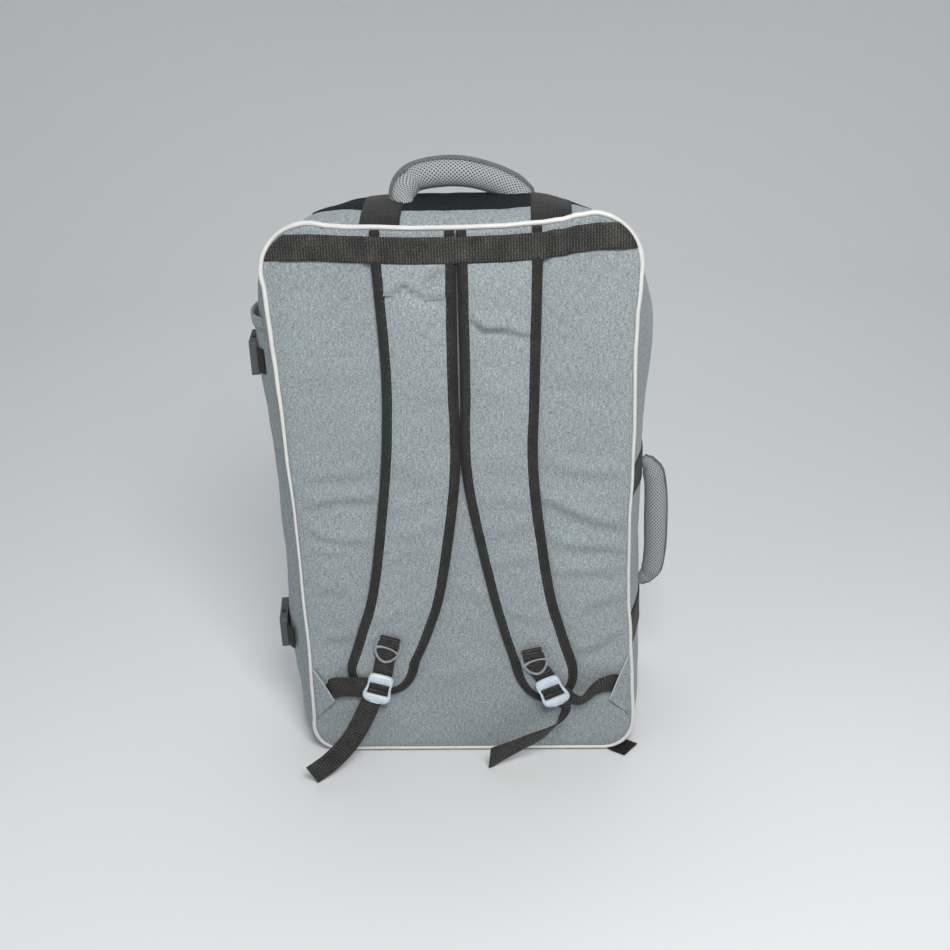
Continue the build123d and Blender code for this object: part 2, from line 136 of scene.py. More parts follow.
def grid_parts(rows, weave_rows, wrap=False, flip=False):
    """Faces and cloth coordinates of a grid of points; wrap joins each row's end to its start."""
    n = len(rows[0])
    faces, weave = [], []
    for i in range(len(rows) - 1):
        low, high = i * n, (i + 1) * n
        for j in range(n if wrap else n - 1):
            k = (j + 1) % n
            quad = [low + j, low + k, high + k, high + j]
            cloth = [weave_rows[i][j], weave_rows[i][j + 1], weave_rows[i + 1][j + 1], weave_rows[i + 1][j]]
            if flip:
                quad.reverse()
                cloth.reverse()
            faces.append(quad)
            weave.append(cloth)
    return faces, weave


def grid_object(name, rows, weave_rows, material, wrap=False, flip=False):
    faces, weave = grid_parts(rows, weave_rows, wrap, flip)
    return make_object(name, [p for row in rows for p in row], faces, weave, material)


def capped_object(name, rows, weave_rows, material, flip=False):
    """Closed bar from its rings, with a face over each end."""
    faces, weave = grid_parts(rows, weave_rows, True, flip)
    n = len(rows[0])
    for first, ring, cloth in ((True, 0, weave_rows[0][:n]),
                               (False, (len(rows) - 1) * n, weave_rows[-1][:n])):
        face = list(range(ring, ring + n))
        faces.append(face[::-1] if first != flip else face)
        weave.append(cloth[::-1] if first != flip else cloth)
    return make_object(name, [p for row in rows for p in row], faces, weave, material)


def thicken(obj, depth, offset):
    """Give a surface its thickness, in millimetres; an offset of -1 puts it behind, 1 in front."""
    solid = obj.modifiers.new("thickness", "SOLIDIFY")
    solid.thickness = depth * MM
    solid.offset = offset
    graph = bpy.context.evaluated_depsgraph_get()
    mesh = bpy.data.meshes.new_from_object(obj.evaluated_get(graph), depsgraph=graph)
    obj.modifiers.clear()
    obj.data = mesh
    return obj


def join(name, objects):
    """One object from several."""
    bpy.ops.object.select_all(action="DESELECT")
    for obj in objects:
        obj.select_set(True)
    bpy.context.view_layer.objects.active = objects[0]
    bpy.ops.object.join()
    objects[0].name = name
    return objects[0]


def frames_along(path):
    """Tangent at each point of a path."""
    ends = [path[0]] + list(path) + [path[-1]]
    return [(b - a).normalized() for a, b in zip(ends, ends[2:])]


def running_lengths(path):
    """Length run from the start to each point of a path."""
    out = [0.0]
    for a, b in zip(path, path[1:]):
        out.append(out[-1] + (b - a).length)
    return out


def tube(name, path, radius, material, sides, closed=False):
    """Round bar along a path; radius is a number or one for each point."""
    n = len(path)
    radii = radius if isinstance(radius, list) else [radius] * n
    lengths = running_lengths(path)
    rows, cloth = [], []
    normal = None
    for i, p in enumerate(path):
        if closed:
            tangent = (path[(i + 1) % n] - path[i - 1]).normalized()
        else:
            tangent = (path[min(i + 1, n - 1)] - path[max(i - 1, 0)]).normalized()
        if normal is None:
            normal = tangent.cross(Vector((0, 1, 0)))
            if normal.length < 0.2:
                normal = tangent.cross(Vector((1, 0, 0)))
            normal.normalize()
        normal = (normal - tangent * normal.dot(tangent)).normalized()
        other = tangent.cross(normal)
        turns = [2 * math.pi * j / sides for j in range(sides)]
        rows.append([p + (normal * math.cos(a) + other * math.sin(a)) * radii[i] for a in turns])
        cloth.append([(j / sides * 2 * math.pi * radii[i], lengths[i]) for j in range(sides + 1)])
    if not closed:
        return capped_object(name, rows, cloth, material)
    length = lengths[-1] + (path[0] - path[-1]).length
    faces, weave = grid_parts(rows + rows[:1], cloth + [[(u, length) for u, v in cloth[0]]], wrap=True)
    faces = [[v % (n * sides) for v in face] for face in faces]
    return make_object(name, [p for row in rows for p in row], faces, weave, material)


def ribbon(name, path, across, width, thick, material, crown=0.0, cut=0.0):
    """Flat webbing along a path. across is the direction over its width, and width its size,
    each one for all or a list; crown bows it and cut slants its far end."""
    steps = [j / 8 * 2 - 1 for j in range(9)]
    tangents = frames_along(path)
    rows, coords = [], []
    for i, (p, length) in enumerate(zip(path, running_lengths(path))):
        side = Vector(across[i] if isinstance(across, list) else across)
        side = (side - tangents[i] * side.dot(tangents[i])).normalized()
        normal = side.cross(tangents[i]).normalized()
        side = side - tangents[i] * (cut * ease((i / (len(path) - 1) - 0.82) / 0.18))
        wide = width[i] if isinstance(width, list) else width
        front, back = [], []
        for u in steps:
            edge = 1 - 0.45 * abs(u) ** 8
            lift = crown * (1 - u * u)
            front.append(p + side * (u * wide / 2) + normal * (thick / 2 * edge + lift))
            back.append(p + side * (u * wide / 2) - normal * (thick / 2 * edge - lift))
        cloth = [(u * wide / 2, length) for u in steps]
        rows.append(front + back[::-1])
        coords.append(cloth + cloth[::-1] + [cloth[0]])
    return capped_object(name, rows, coords, material)


def swept_web(name, run, count, **shape):
    """Strap webbing through places, with the direction across it and its width at each."""
    places, turns, widths = run
    wide = [p.x for p in catmull([(w, 0, 0) for w in widths], count)]
    return ribbon(name, catmull(places, count), catmull(turns, count), wide, WEB_THICK, WEBBING, **shape)


def attach(obj, body, node=None):
    """Say which body a piece rides on and the CAD node that it stands in for."""
    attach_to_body(obj, body)
    if node:
        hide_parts(node)


# ------------------------------------------------------------------ materials
def shader(name, rough, specular, sheen=0.0):
    """New material with its main nodes."""
    material = bpy.data.materials.new(name)
    material.use_nodes = True
    tree = material.node_tree
    tree.nodes.clear()
    out = tree.nodes.new("ShaderNodeOutputMaterial")
    main = tree.nodes.new("ShaderNodeBsdfPrincipled")
    main.inputs["Roughness"].default_value = rough
    main.inputs["Sheen Weight"].default_value = sheen
    main.inputs["Sheen Roughness"].default_value = 0.5
    main.inputs["Specular IOR Level"].default_value = specular
    tree.links.new(main.outputs[0], out.inputs[0])
    return material, tree, main


def feed(tree, socket, value):
    """Give a socket a number, a colour or another node's output."""
    if isinstance(value, tuple):
        socket.default_value = (*value, 1)
    elif isinstance(value, (int, float)):
        socket.default_value = value
    else:
        tree.links.new(value, socket)


def mapped(tree, vector, scale):
    mapping = tree.nodes.new("ShaderNodeMapping")
    mapping.inputs["Scale"].default_value = scale
    tree.links.new(vector, mapping.inputs["Vector"])
    return mapping.outputs["Vector"]


def cloth_coords(tree, scale=(1, 1, 1)):
    """The piece's own cloth coordinates, in metres, scaled."""
    source = tree.nodes.new("ShaderNodeAttribute")
    source.attribute_name = "weave"
    return mapped(tree, source.outputs["Vector"], scale)


def cloth_noise(tree, u, v, detail, rough=0.5):
    """Noise over the cloth, u cells to the metre across it and v along it."""
    return noise_node(tree, cloth_coords(tree, (u, v, 1)), detail, rough)


def cloth_split(tree):
    """The cloth coordinates across and along, each by itself."""
    split = tree.nodes.new("ShaderNodeSeparateXYZ")
    tree.links.new(cloth_coords(tree), split.inputs[0])
    return split.outputs[0], split.outputs[1]


def object_noise(tree, scale, detail, rough=0.5):
    source = tree.nodes.new("ShaderNodeTexCoord")
    return noise_node(tree, mapped(tree, source.outputs["Object"], scale), detail, rough)


def noise_node(tree, vector, detail, rough):
    node = tree.nodes.new("ShaderNodeTexNoise")
    node.inputs["Scale"].default_value = 1.0
    node.inputs["Detail"].default_value = detail
    node.inputs["Roughness"].default_value = rough
    tree.links.new(vector, node.inputs["Vector"])
    return node.outputs["Fac"]


def math_node(tree, operation, *values):
    node = tree.nodes.new("ShaderNodeMath")
    node.operation = operation
    for socket, value in zip(node.inputs, values):
        feed(tree, socket, value)
    return node.outputs[0]


def times(tree, a, b):
    return math_node(tree, "MULTIPLY", a, b)


def plus(tree, a, b):
    return math_node(tree, "ADD", a, b)


def wave(tree, place, pitch, operation="SINE"):
    """Regular wave along a coordinate, its pitch in metres."""
    return math_node(tree, operation, times(tree, place, 2 * math.pi / pitch))


def ramp(tree, factor, stops):
    """Colour ramp; stops are (place, colour)."""
    node = tree.nodes.new("ShaderNodeValToRGB")
    node.color_ramp.elements[0].position = stops[0][0]
    node.color_ramp.elements[0].color = (*stops[0][1], 1)
    node.color_ramp.elements[1].position = stops[-1][0]
    node.color_ramp.elements[1].color = (*stops[-1][1], 1)
    for place, colour in stops[1:-1]:
        element = node.color_ramp.elements.new(place)
        element.color = (*colour, 1)
    tree.links.new(factor, node.inputs["Fac"])
    return node.outputs["Color"]


def mix_colour(tree, factor, a, b, blend="MIX"):
    node = tree.nodes.new("ShaderNodeMix")
    node.data_type = "RGBA"
    node.blend_type = blend
    colours = [s for s in node.inputs if s.type == "RGBA"]
    for socket, value in zip([node.inputs["Factor"]] + colours, (factor, a, b)):
        feed(tree, socket, value)
    return [s for s in node.outputs if s.type == "RGBA"][0]


def bump(tree, main, height, strength, distance):
    node = tree.nodes.new("ShaderNodeBump")
    node.inputs["Strength"].default_value = strength
    node.inputs["Distance"].default_value = distance
    tree.links.new(height, node.inputs["Height"])
    tree.links.new(node.outputs[0], main.inputs["Normal"])


def melange_material(name, dark, light, sheen=0.12):
    """Heathered polyester: pale and dark fibres in warp and weft, a fine plain weave and slubs."""
    material, tree, main = shader(name, 0.86, 0.25 if sheen else 0.08, sheen)
    warp = cloth_noise(tree, 1600, 400, 2.0, 0.6)
    weft = cloth_noise(tree, 400, 1600, 2.0, 0.6)
    slub = cloth_noise(tree, 620, 110, 1.0)
    cloud = cloth_noise(tree, 14, 14, 3.0)
    threads = plus(tree, plus(tree, times(tree, warp, 0.43), times(tree, weft, 0.40)),
                   times(tree, slub, 0.16))
    middle = tuple((a + b) / 2 for a, b in zip(dark, light))
    colour = ramp(tree, threads, [(0.38, dark), (0.5, middle), (0.62, light)])
    shade = ramp(tree, cloud, [(0.3, (0.90, 0.91, 0.92)), (0.7, (1.0, 1.0, 1.0))])
    feed(tree, main.inputs["Base Color"], mix_colour(tree, 1.0, colour, shade, "MULTIPLY"))
    across, down = cloth_split(tree)
    weave = times(tree, wave(tree, across, WEAVE_PITCH), wave(tree, down, WEAVE_PITCH))
    bump(tree, main, plus(tree, times(tree, weave, 0.3), threads), 0.35, 0.0004)
    return material


def webbing_material(name, dark, light, pitch, rough=0.72):
    """Woven webbing: ribs across its length, broken up by a finer wave across its width."""
    material, tree, main = shader(name, rough, 0.35, 0.05)
    across, down = cloth_split(tree)
    rib = wave(tree, down, pitch)
    lattice = times(tree, rib, wave(tree, across, TWILL_PITCH))
    relief = plus(tree, times(tree, rib, 0.4), times(tree, lattice, 0.5))
    patches = math_node(tree, "SUBTRACT", cloth_noise(tree, 60, 60, 2.0), 0.5)
    level = plus(tree, times(tree, relief, 0.38), cloth_noise(tree, 900, 500, 2.0, 0.6))
    level = plus(tree, level, times(tree, patches, 0.5))
    middle = tuple(a * 0.7 + b * 0.3 for a, b in zip(dark, light))
    feed(tree, main.inputs["Base Color"], ramp(tree, level, [(0.34, dark), (0.62, middle), (0.95, light)]))
    bump(tree, main, relief, 0.6, 0.0005)
    return material


def mesh_material(name, thread, hole):
    """Air mesh: a lattice of small dark openings between pale knitted threads."""
    material, tree, main = shader(name, 0.8, 0.3, 0.1)
    across, down = cloth_split(tree)
    lattice = times(tree, wave(tree, across, MESH_PITCH[0], "COSINE"),
                    wave(tree, down, MESH_PITCH[1], "COSINE"))
    grain = cloth_noise(tree, 1100, 700, 2.0)
    opening = ramp(tree, plus(tree, lattice, times(tree, grain, 0.3)), [(0.32, (0, 0, 0)), (0.62, (1, 1, 1))])
    pale = ramp(tree, grain, [(0.3, tuple(c * 0.78 for c in thread)), (0.7, thread)])
    feed(tree, main.inputs["Base Color"], mix_colour(tree, opening, pale, hole))
    bump(tree, main, math_node(tree, "SUBTRACT", grain, times(tree, opening, 3.0)), 0.5, 0.0008)
    return material


def plastic_material(name, colour, rough, mottling=0.08, specular=0.5):
    """Moulded plastic: a faint mottle, fine scuffs and uneven gloss."""
    material, tree, main = shader(name, rough, specular)
    cloud = object_noise(tree, (90, 90, 90), 3.0)
    scuff = object_noise(tree, (900, 260, 900), 3.0, 0.7)
    low = tuple(c * (1 - mottling) for c in colour)
    high = tuple(min(1.0, c * (1 + mottling)) for c in colour)
    feed(tree, main.inputs["Base Color"], ramp(tree, cloud, [(0.3, low), (0.7, high)]))
    gloss = tree.nodes.new("ShaderNodeMapRange")
    gloss.inputs["To Min"].default_value = rough - 0.07
    gloss.inputs["To Max"].default_value = rough + 0.1
    feed(tree, gloss.inputs["Value"], scuff)
    feed(tree, main.inputs["Roughness"], gloss.outputs[0])
    bump(tree, main, scuff, 0.12, 0.0003)
    return material


# Sizes of the weaves, in metres.
WEAVE_PITCH = 0.0011
TWILL_PITCH = 0.0028
MESH_PITCH = (0.0034, 0.0039)


MELANGE = melange_material("melange_fabric", (0.112, 0.143, 0.157), (0.425, 0.470, 0.488))
MELANGE_DARK = melange_material("handle_melange_fabric", (0.050, 0.060, 0.062), (0.19, 0.21, 0.21))
WEBBING = webbing_material("ribbed_webbing", (0.004, 0.004, 0.004), (0.110, 0.104, 0.098), 0.0027)
BAND = webbing_material("twill_band_webbing", (0.004, 0.004, 0.004), (0.125, 0.120, 0.112), 0.0026)
BINDING = webbing_material("binding_tape", (0.010, 0.0098, 0.0095), (0.058, 0.056, 0.054), 0.0012, 0.85)
BLACK_WEBBING = webbing_material("black_webbing", (0.0015, 0.0015, 0.0015), (0.034, 0.033, 0.031), 0.0025)
MESH = mesh_material("air_mesh", (0.40, 0.415, 0.43), (0.035, 0.035, 0.04))
PIPING = plastic_material("pale_piping", (0.62, 0.62, 0.605), 0.30, 0.05)
LOCK = plastic_material("light_lock_plastic", (0.52, 0.60, 0.66), 0.28)
RING_PLASTIC = plastic_material("ring_plastic", (0.24, 0.26, 0.29), 0.30)
DARK = plastic_material("dark_plastic", (0.022, 0.022, 0.024), 0.42)
METAL = plastic_material("slider_metal", (0.10, 0.10, 0.11), 0.3, 0.05, 0.8)
LINING = melange_material("dark_lining", (0.012, 0.012, 0.014), (0.030, 0.030, 0.034))
# Melange with painted shade: the handle's shadow and grazing light on the top are painted into this dark
# colour, with no sheen.
MELANGE_PAINTED_SHADE = melange_material("painted_shade_melange", (0.006, 0.0075, 0.0078), (0.028, 0.032, 0.032), 0.0)
ZIP_TAPE = webbing_material("zipper_tape", (0.012, 0.012, 0.012), (0.045, 0.044, 0.043), 0.0009, 0.8)
PALE_EDGE = plastic_material("pale_edge_thread", (0.50, 0.52, 0.52), 0.7)
THREAD = plastic_material("sewing_thread", (0.085, 0.083, 0.08), 0.7)
BOARD = plastic_material("sheet_board", (0.16, 0.16, 0.17), 0.55)

# ------------------------------------------------------------------ the bag's shape
# Depth, left reach, right reach, height and radius of the upper corners.
GUSSET = [(-97.0, 170.5, 170.5, 558.5, 56.0), (-18.0, 196.0, 179.0, 570.0, 128.0),
          (56.0, 180.0, 177.0, 545.0, 100.0)]
GUSSET_REAR, GUSSET_FRONT = GUSSET[0][0], GUSSET[2][0]
FRONT_HEIGHT = 545.0         # of the clamshell front
FLAP_HALF = 176.5
FRONT_PANEL_HALF = 168.0
POCKET_HALF = 142.0
POCKET_CORNER = 26.0


def three_point(y, a, b, c):
    """Parabola through three stations."""
    (y0, v0), (y1, v1), (y2, v2) = a, b, c
    return (v0 * (y - y1) * (y - y2) / ((y0 - y1) * (y0 - y2))
            + v1 * (y - y0) * (y - y2) / ((y1 - y0) * (y1 - y2))
            + v2 * (y - y0) * (y - y1) / ((y2 - y0) * (y2 - y1)))


def reach(y, k):
    """The gusset's extent at a depth: k is 1 left, 2 right, 3 top, 4 the upper corners' radius."""
    return three_point(y, *[(s[0], s[k]) for s in GUSSET])


# How far the filled bag draws in: (height, amount) for each side, and (x, rise) for the top.
LEFT_WAIST = [(0, 2), (70, 4), (127, 5.5), (186, 4.6), (233, 4.8), (274, 4.6), (343, 2.4), (380, 2.0),
              (418, 0.8), (455, -0.8), (490, -2.0), (515, -3.0), (560, -2)]
RIGHT_WAIST = [(0, 3), (45, 4.7), (87, 6.3), (138, 8.6), (178, 11.2), (213, 11.6), (265, 11.2), (315, 9.2),
               (363, 8.0), (431, 8.4), (464, 7.2), (497, 4.2), (531, 2.6), (560, 3)]
TOP_SAG = [(-134, -2), (-82, -5.6), (-29, -8), (7, -8.4), (42, -8), (77, -6.2), (95, -4.2), (112, -0.4),
           (129, 1.5)]


# Corners of the back panel: centre, radius, the quarter they face and how much fuller they are.
CORNERS = [(-115, 504, 56, -1, 1, 6.5), (115, 504, 56, 1, 1, 2.5), (-135, 40, 36, -1, -1, 3.0)]


def corner_push(x, z):
    """Shift of a point of the back panel that makes the corners fuller."""
    for cx, cz, r, side, end, push in CORNERS:
        dx, dz = x - cx, z - cz
        if dx * side > 0 and dz * end > 0:
            d = math.hypot(dx, dz)
            amount = push * 2 * abs(dx * dz) / (d * d) * d / r
            return dx / d * amount, dz / d * amount
    return 0.0, 0.0


def shaped(x, z, y, nx, nz):
    """A point of the outline, with the slack that the filled bag shows, fading towards the front."""
    fade = 1 - 0.9 * ease((y - SEAM_Y) / 90)
    if nx < 0:
        x += along(z, LEFT_WAIST) * fade * nx * nx
    else:
        x -= along(z, RIGHT_WAIST) * fade * nx * nx
    for *_, side, end, push in CORNERS:
        if nx * side > 0 and nz * end > 0:
            amount = push * 2 * abs(nx * nz) * fade
            x += nx * amount
            z += nz * amount
    if nz > 0:
        z += along(x, TOP_SAG) * fade * nz * nz
    return x, z


def outline(left, right, bottom, top, r_top, r_bottom):
    """Points (x, z, normal x, normal z) round a panel, starting mid-base, going to +X."""
    out = []

    def line(x0, z0, x1, z1, nx, nz, count):
        for i in range(count):
            t = i / count
            out.append((x0 + (x1 - x0) * t, z0 + (z1 - z0) * t, nx, nz))

    def corner(cx, cz, r, start, count):
        for i in range(count):
            a = math.radians(start + 90 * i / count)
            out.append((cx + r * math.cos(a), cz + r * math.sin(a), math.cos(a), math.sin(a)))

    line(0, bottom, right - r_bottom, bottom, 0, -1, 20)
    corner(right - r_bottom, bottom + r_bottom, r_bottom, -90, 16)
    line(right, bottom + r_bottom, right, top - r_top, 1, 0, 76)
    corner(right - r_top, top - r_top, r_top, 0, 34)
    line(right - r_top, top, -(left - r_top), top, 0, 1, 40)
    corner(-(left - r_top), top - r_top, r_top, 90, 34)
    line(-left, top - r_top, -left, bottom + r_bottom, -1, 0, 76)
    corner(-(left - r_bottom), bottom + r_bottom, r_bottom, 180, 16)
    line(-(left - r_bottom), bottom, 0, bottom, 0, -1, 20)
    return out


def gusset_row(y, lift=0.0, bottom=0.0):
    """Ring of the main gusset at depth y."""
    ring = []
    for x, z, nx, nz in outline(reach(y, 1), reach(y, 2), bottom, reach(y, 3), reach(y, 4), R_BOTTOM):
        x, z = shaped(x, z, y, nx, nz)
        free = 1 - max(0.0, -nz)
        puff = slack(x, y, z) * free + lift
        ring.append(Vector((x + nx * puff, y, max(z + nz * puff, bottom))))
    return ring


def main_gusset():
    depths = [GUSSET_REAR + (GUSSET_FRONT - GUSSET_REAR) * i / 46 for i in range(47)]
    rows = [gusset_row(y) for y in depths]
    lengths = running_lengths(rows[20] + rows[20][:1])
    cloth = [[(length, y) for length in lengths] for y in depths]
    shell = grid_object("gusset_fabric", rows, cloth, MELANGE, wrap=True, flip=True)
    thicken(shell, 1.2, -1.0)
    inner_rows = [gusset_row(y, -2.4, 2.2) for y in depths[1:-1]]
    lining = grid_object("main_lining", inner_rows, cloth[1:-1], LINING, wrap=True)
    thicken(lining, 0.6, 1.0)
    attach(shell, "bag", "main_gusset")
    attach(lining, "bag")


# Soft folds of the back panel: start and end (x, z), depth in mm, half width in mm.
PANEL_FOLDS = [
    ((-158, 292), (-92, 300), 1.6, 7), ((-155, 262), (-100, 252), 1.3, 6), ((-150, 318), (-100, 326), 1.0, 7),
    ((-150, 236), (-118, 244), 0.9, 5), ((84, 292), (160, 262), 1.9, 8), ((92, 250), (160, 236), 1.4, 7),
    ((84, 330), (158, 318), 1.0, 8), ((96, 214), (158, 222), 0.9, 7), ((-6, 196), (22, 190), 0.8, 9),
    ((-40, 96), (20, 108), 0.8, 12), ((-160, 206), (-120, 196), 0.8, 8), ((112, 176), (160, 190), 1.0, 8),
    ((-158, 420), (-88, 428), 0.7, 14), ((88, 420), (160, 410), 0.7, 14), ((-130, 60), (-60, 44), 0.7, 14),
    ((110, 128), (150, 146), 1.2, 7), ((-150, 138), (-122, 150), 1.0, 6),
]


def fold_depth(x, z, folds):
    """Sum of the folds at a point; each is a shallow ridge with a valley below it."""
    total = 0.0
    for (x0, z0), (x1, z1), depth, wide in folds:
        dx, dz = x1 - x0, z1 - z0
        span = math.hypot(dx, dz)
        t = ((x - x0) * dx + (z - z0) * dz) / span ** 2
        if t < -0.3 or t > 1.3:
            continue
        off = ((x - x0) * dz - (z - z0) * dx) / span
        off += 2.4 * math.sin(t * 5.0 + x0)
        if abs(off) > 4 * wide:
            continue
        ends = ease((t + 0.3) / 0.5) * ease((1.3 - t) / 0.5)
        ridge, valley = math.exp(-(off / wide) ** 2), math.exp(-((off - 1.7 * wide) / wide) ** 2)
        total += 2.3 * depth * ends * (ridge - 0.6 * valley)
    return total


def panel_front(x, z):
    """Depth of the back panel's face."""
    gap = rounded_gap(x, z, HALF - 3, HALF - 3, 6.0, HEIGHT - 2)
    crown = 5.2 * (1 - math.exp(-max(gap, 0) / 9))
    soft = ease(gap / 30)
    waves = 0.5 * fuzz(x, 3, z, 60) + 0.28 * fuzz(x, 9, z * 1.6, 22)
    return SEAM_Y - 0.6 - crown - soft * (waves + fold_depth(x, z, PANEL_FOLDS))


def panel_extent(z, inset):
    """Left and right reach of the back panel at height z."""
    low, high = PANEL_LOW + inset, HEIGHT - inset
    upper = z > HEIGHT / 2
    r = R_TOP - inset if upper else R_BOTTOM - inset
    flat = HALF - inset
    rise = (z - (high - r)) if upper else ((low + r) - z)
    cut = r - math.sqrt(max(r * r - rise * rise, 0)) if rise > 0 else 0.0
    side = 1 - min(max(rise / r, 0), 1) ** 2
    return flat - cut - along(z, LEFT_WAIST) * side, flat - cut - along(z, RIGHT_WAIST) * side


def back_panel():
    inset = 1.6
    low, high = PANEL_LOW + inset, HEIGHT - inset
    heights = [low + (R_BOTTOM - inset) * (1 - math.cos(math.pi / 2 * i / 15)) for i in range(15)]
    straight = high - low - R_TOP - R_BOTTOM + 2 * inset
    heights += [low + R_BOTTOM - inset + straight * i / 170 for i in range(170)]
    heights += [high - R_TOP + inset + (R_TOP - inset) * math.sin(math.pi / 2 * i / 22) for i in range(23)]
    rows, cloth = [], []
    columns = 110
    for z in heights:
        left, right = panel_extent(z, inset)
        row, coords = [], []
        for j in range(columns + 1):
            t = j / columns
            t = t - 0.06 * math.sin(2 * math.pi * t)
            x = -left + (left + right) * t
            top_pull = along(x, TOP_SAG) * ease((z - 440) / 110)
            push_x, push_z = corner_push(x, z)
            row.append(Vector((x + push_x, panel_front(x, z), z + top_pull + push_z)))
            coords.append((x, z))
        rows.append(row)
        cloth.append(coords)
    panel = grid_object("back_panel_fabric", rows, cloth, MELANGE)
    thicken(panel, 4.0, -1.0)
    attach(panel, "bag", "back_panel")


def piping_path(left, right, bottom, top, y, wave, r_top):
    path = []
    for x, z, nx, nz in outline(left, right, bottom, top, r_top, R_BOTTOM):
        if wave:
            x, z = shaped(x, z, SEAM_Y, nx, nz)
        shift = 0.5 * fuzz(x, y, z, 45)
        path.append(Vector((x + nx * shift * 0.6, y + shift * 0.5, max(z, bottom))))
    return path


def pipings():
    path = piping_path(HALF, HALF, 4.2, HEIGHT, SEAM_Y, True, R_TOP)
    thin = [0.55 * math.exp(-((p.z - 270) / 130) ** 2) + 0.5 * (1 - ease(p.z / 24)) for p in path]
    cord = tube("back_piping_cord", path, [2.3 - t for t in thin], PIPING, 14, closed=True)
    attach(cord, "bag", "back_piping")
    path = piping_path(HALF + 1.2, HALF + 1.2, 6.4, FRONT_HEIGHT - 5.5, FRONT_Y - 2.5, False, 96.0)
    cord = tube("front_piping_cord", path, 2.8, PIPING, 14, closed=True)
    attach(cord, "front_flap", "front_piping")


# ------------------------------------------------------------------ webbing band across the top
ROOT_SPAN = (-76.0, 82.0)


def band_lift(x):
    """How far the band stands off the panel where it passes over the strap roots."""
    return 4.6 * ease((x - ROOT_SPAN[0] + 8) / 9) * ease((ROOT_SPAN[1] + 8 - x) / 9)


def back_band():
    rows, cloth = [], []
    count = 150
    for i in range(count + 1):
        t = i / count
        row, coords = [], []
        for j in range(13):
            v = j / 12
            z = BAND_LOW + (BAND_HIGH - BAND_LOW) * v
            left, right = panel_extent(z, 3.0)
            x = -left + (left + right) * t
            x += corner_push(x, z)[0]
            z += along(x, TOP_SAG) * 0.8 + 5.5
            face = min(panel_front(x, z), BACK_Y + 0.4 + 5.5 * (1 - ease((HALF - abs(x)) / 26)))
            ripple = 0.35 * fuzz(x, 0, z, 13) + 0.5 * fuzz(x, 5, z * 0.3, 34)
            edge = 0.5 * (abs(v - 0.5) * 2) ** 6
            row.append(Vector((x, face - 0.7 - band_lift(x) - ripple * 0.5 - 1.2 + edge, z)))
            coords.append((z, x))
        rows.append(row)
        cloth.append(coords)
    band = grid_object("band_webbing", rows, cloth, BAND, flip=True)
    thicken(band, 1.3, -1.0)
    attach(band, "bag", "back_band")


# ------------------------------------------------------------------ shoulder straps
# Each strap's edges from the top down, and the middle of its rounded end, as (x, z).
STRAPS = {
    "left": {
        "left": [(-73, 526), (-70.5, 449), (-71, 398), (-78, 317), (-96, 203), (-112, 150), (-125, 113)],
        "right": [(2, 526), (0, 449), (-1, 398), (-3, 317), (-21, 203), (-37, 150), (-53, 113)],
        "end": (-95, 77),
    },
    "right": {
        "left": [(4, 526), (3, 449), (2, 398), (1, 317), (20, 203), (32, 150), (42, 113)],
        "right": [(79, 526), (76, 449), (74, 398), (72, 317), (84, 203), (96, 150), (107, 113)],
        "end": (83, 66),
    },
}
STRAP_BACK = -106.2
BINDING_WIDE = 9.0


def strap_frame(design):
    """Centre line stations down a strap, with the direction across it and its half width."""
    count = 120
    left = catmull([(x, z, 0) for x, z in design["left"]], count)
    right = catmull([(x, z, 0) for x, z in design["right"]], count)
    stations = [((a + b) / 2, (b - a) / 2) for a, b in zip(left, right)]
    centre, half = stations[-1]
    before = stations[-6][0]
    heading = (centre - before).normalized()
    end = Vector((*design["end"], 0))
    heading = ((end - centre).normalized() + heading).normalized()
    cap = 34
    for i in range(1, cap + 1):
        t = math.sin(math.pi / 2 * i / cap)
        middle = centre.lerp(end, t)
        squeeze = max(1 - t ** 2.3, 0.0) ** 0.5
        turn = Vector((-heading.y, heading.x, 0)) * half.length
        side = half.lerp(turn if turn.x > 0 else -turn, t * 0.6)
        stations.append((middle, side * max(squeeze, 0.02)))
    return stations


def strap_outline(stations):
    """Edge line of a strap, down its left edge and up its right edge."""
    left = [c - h for c, h in stations]
    right = [c + h for c, h in stations]
    return left + right[::-1]


# Folds of the straps, given as those of the back panel.
STRAP_FOLDS = {
    "left": [
        ((-66, 500), (-46, 505), 5.0, 3.2), ((-48, 504), (-12, 520), 6.5, 3.6),
        ((-42, 502), (-6, 495), 5.0, 3.2), ((-66, 262), (-20, 270), 1.0, 7), ((-72, 290), (-22, 300), 0.9, 7),
        ((-84, 236), (-40, 246), 0.8, 6), ((-68, 330), (-20, 322), 0.7, 9), ((-104, 170), (-60, 176), 0.6, 7),
        ((-66, 410), (-12, 402), 0.5, 12),
    ],
    "right": [
        ((14, 472), (34, 470), 2.1, 3.6), ((22, 469), (44, 463), 1.8, 3.6), ((32, 466), (70, 462), 2.2, 4.2),
        ((14, 262), (64, 272), 1.0, 7), ((12, 292), (60, 300), 0.8, 7), ((18, 226), (70, 238), 0.9, 7),
        ((12, 340), (62, 330), 0.7, 9), ((40, 176), (84, 168), 0.6, 7), ((14, 410), (64, 402), 0.5, 12),
    ],
}


def edge_gap(points, edge):
    """Distance from each point to the edge line."""
    p = np.array([(q.x, q.y) for q in points])
    e = np.array([(q.x, q.y) for q in edge])
    a, b = e[:-1], e[1:]
    best = np.full(len(p), 1e9)
    for start, stop in zip(a, b):
        d = stop - start
        size = float(d @ d)
        if size < 1e-9:
            continue
        t = np.clip(((p - start) @ d) / size, 0, 1)
        best = np.minimum(best, np.linalg.norm(p - (start + t[:, None] * d), axis=1))
    return best


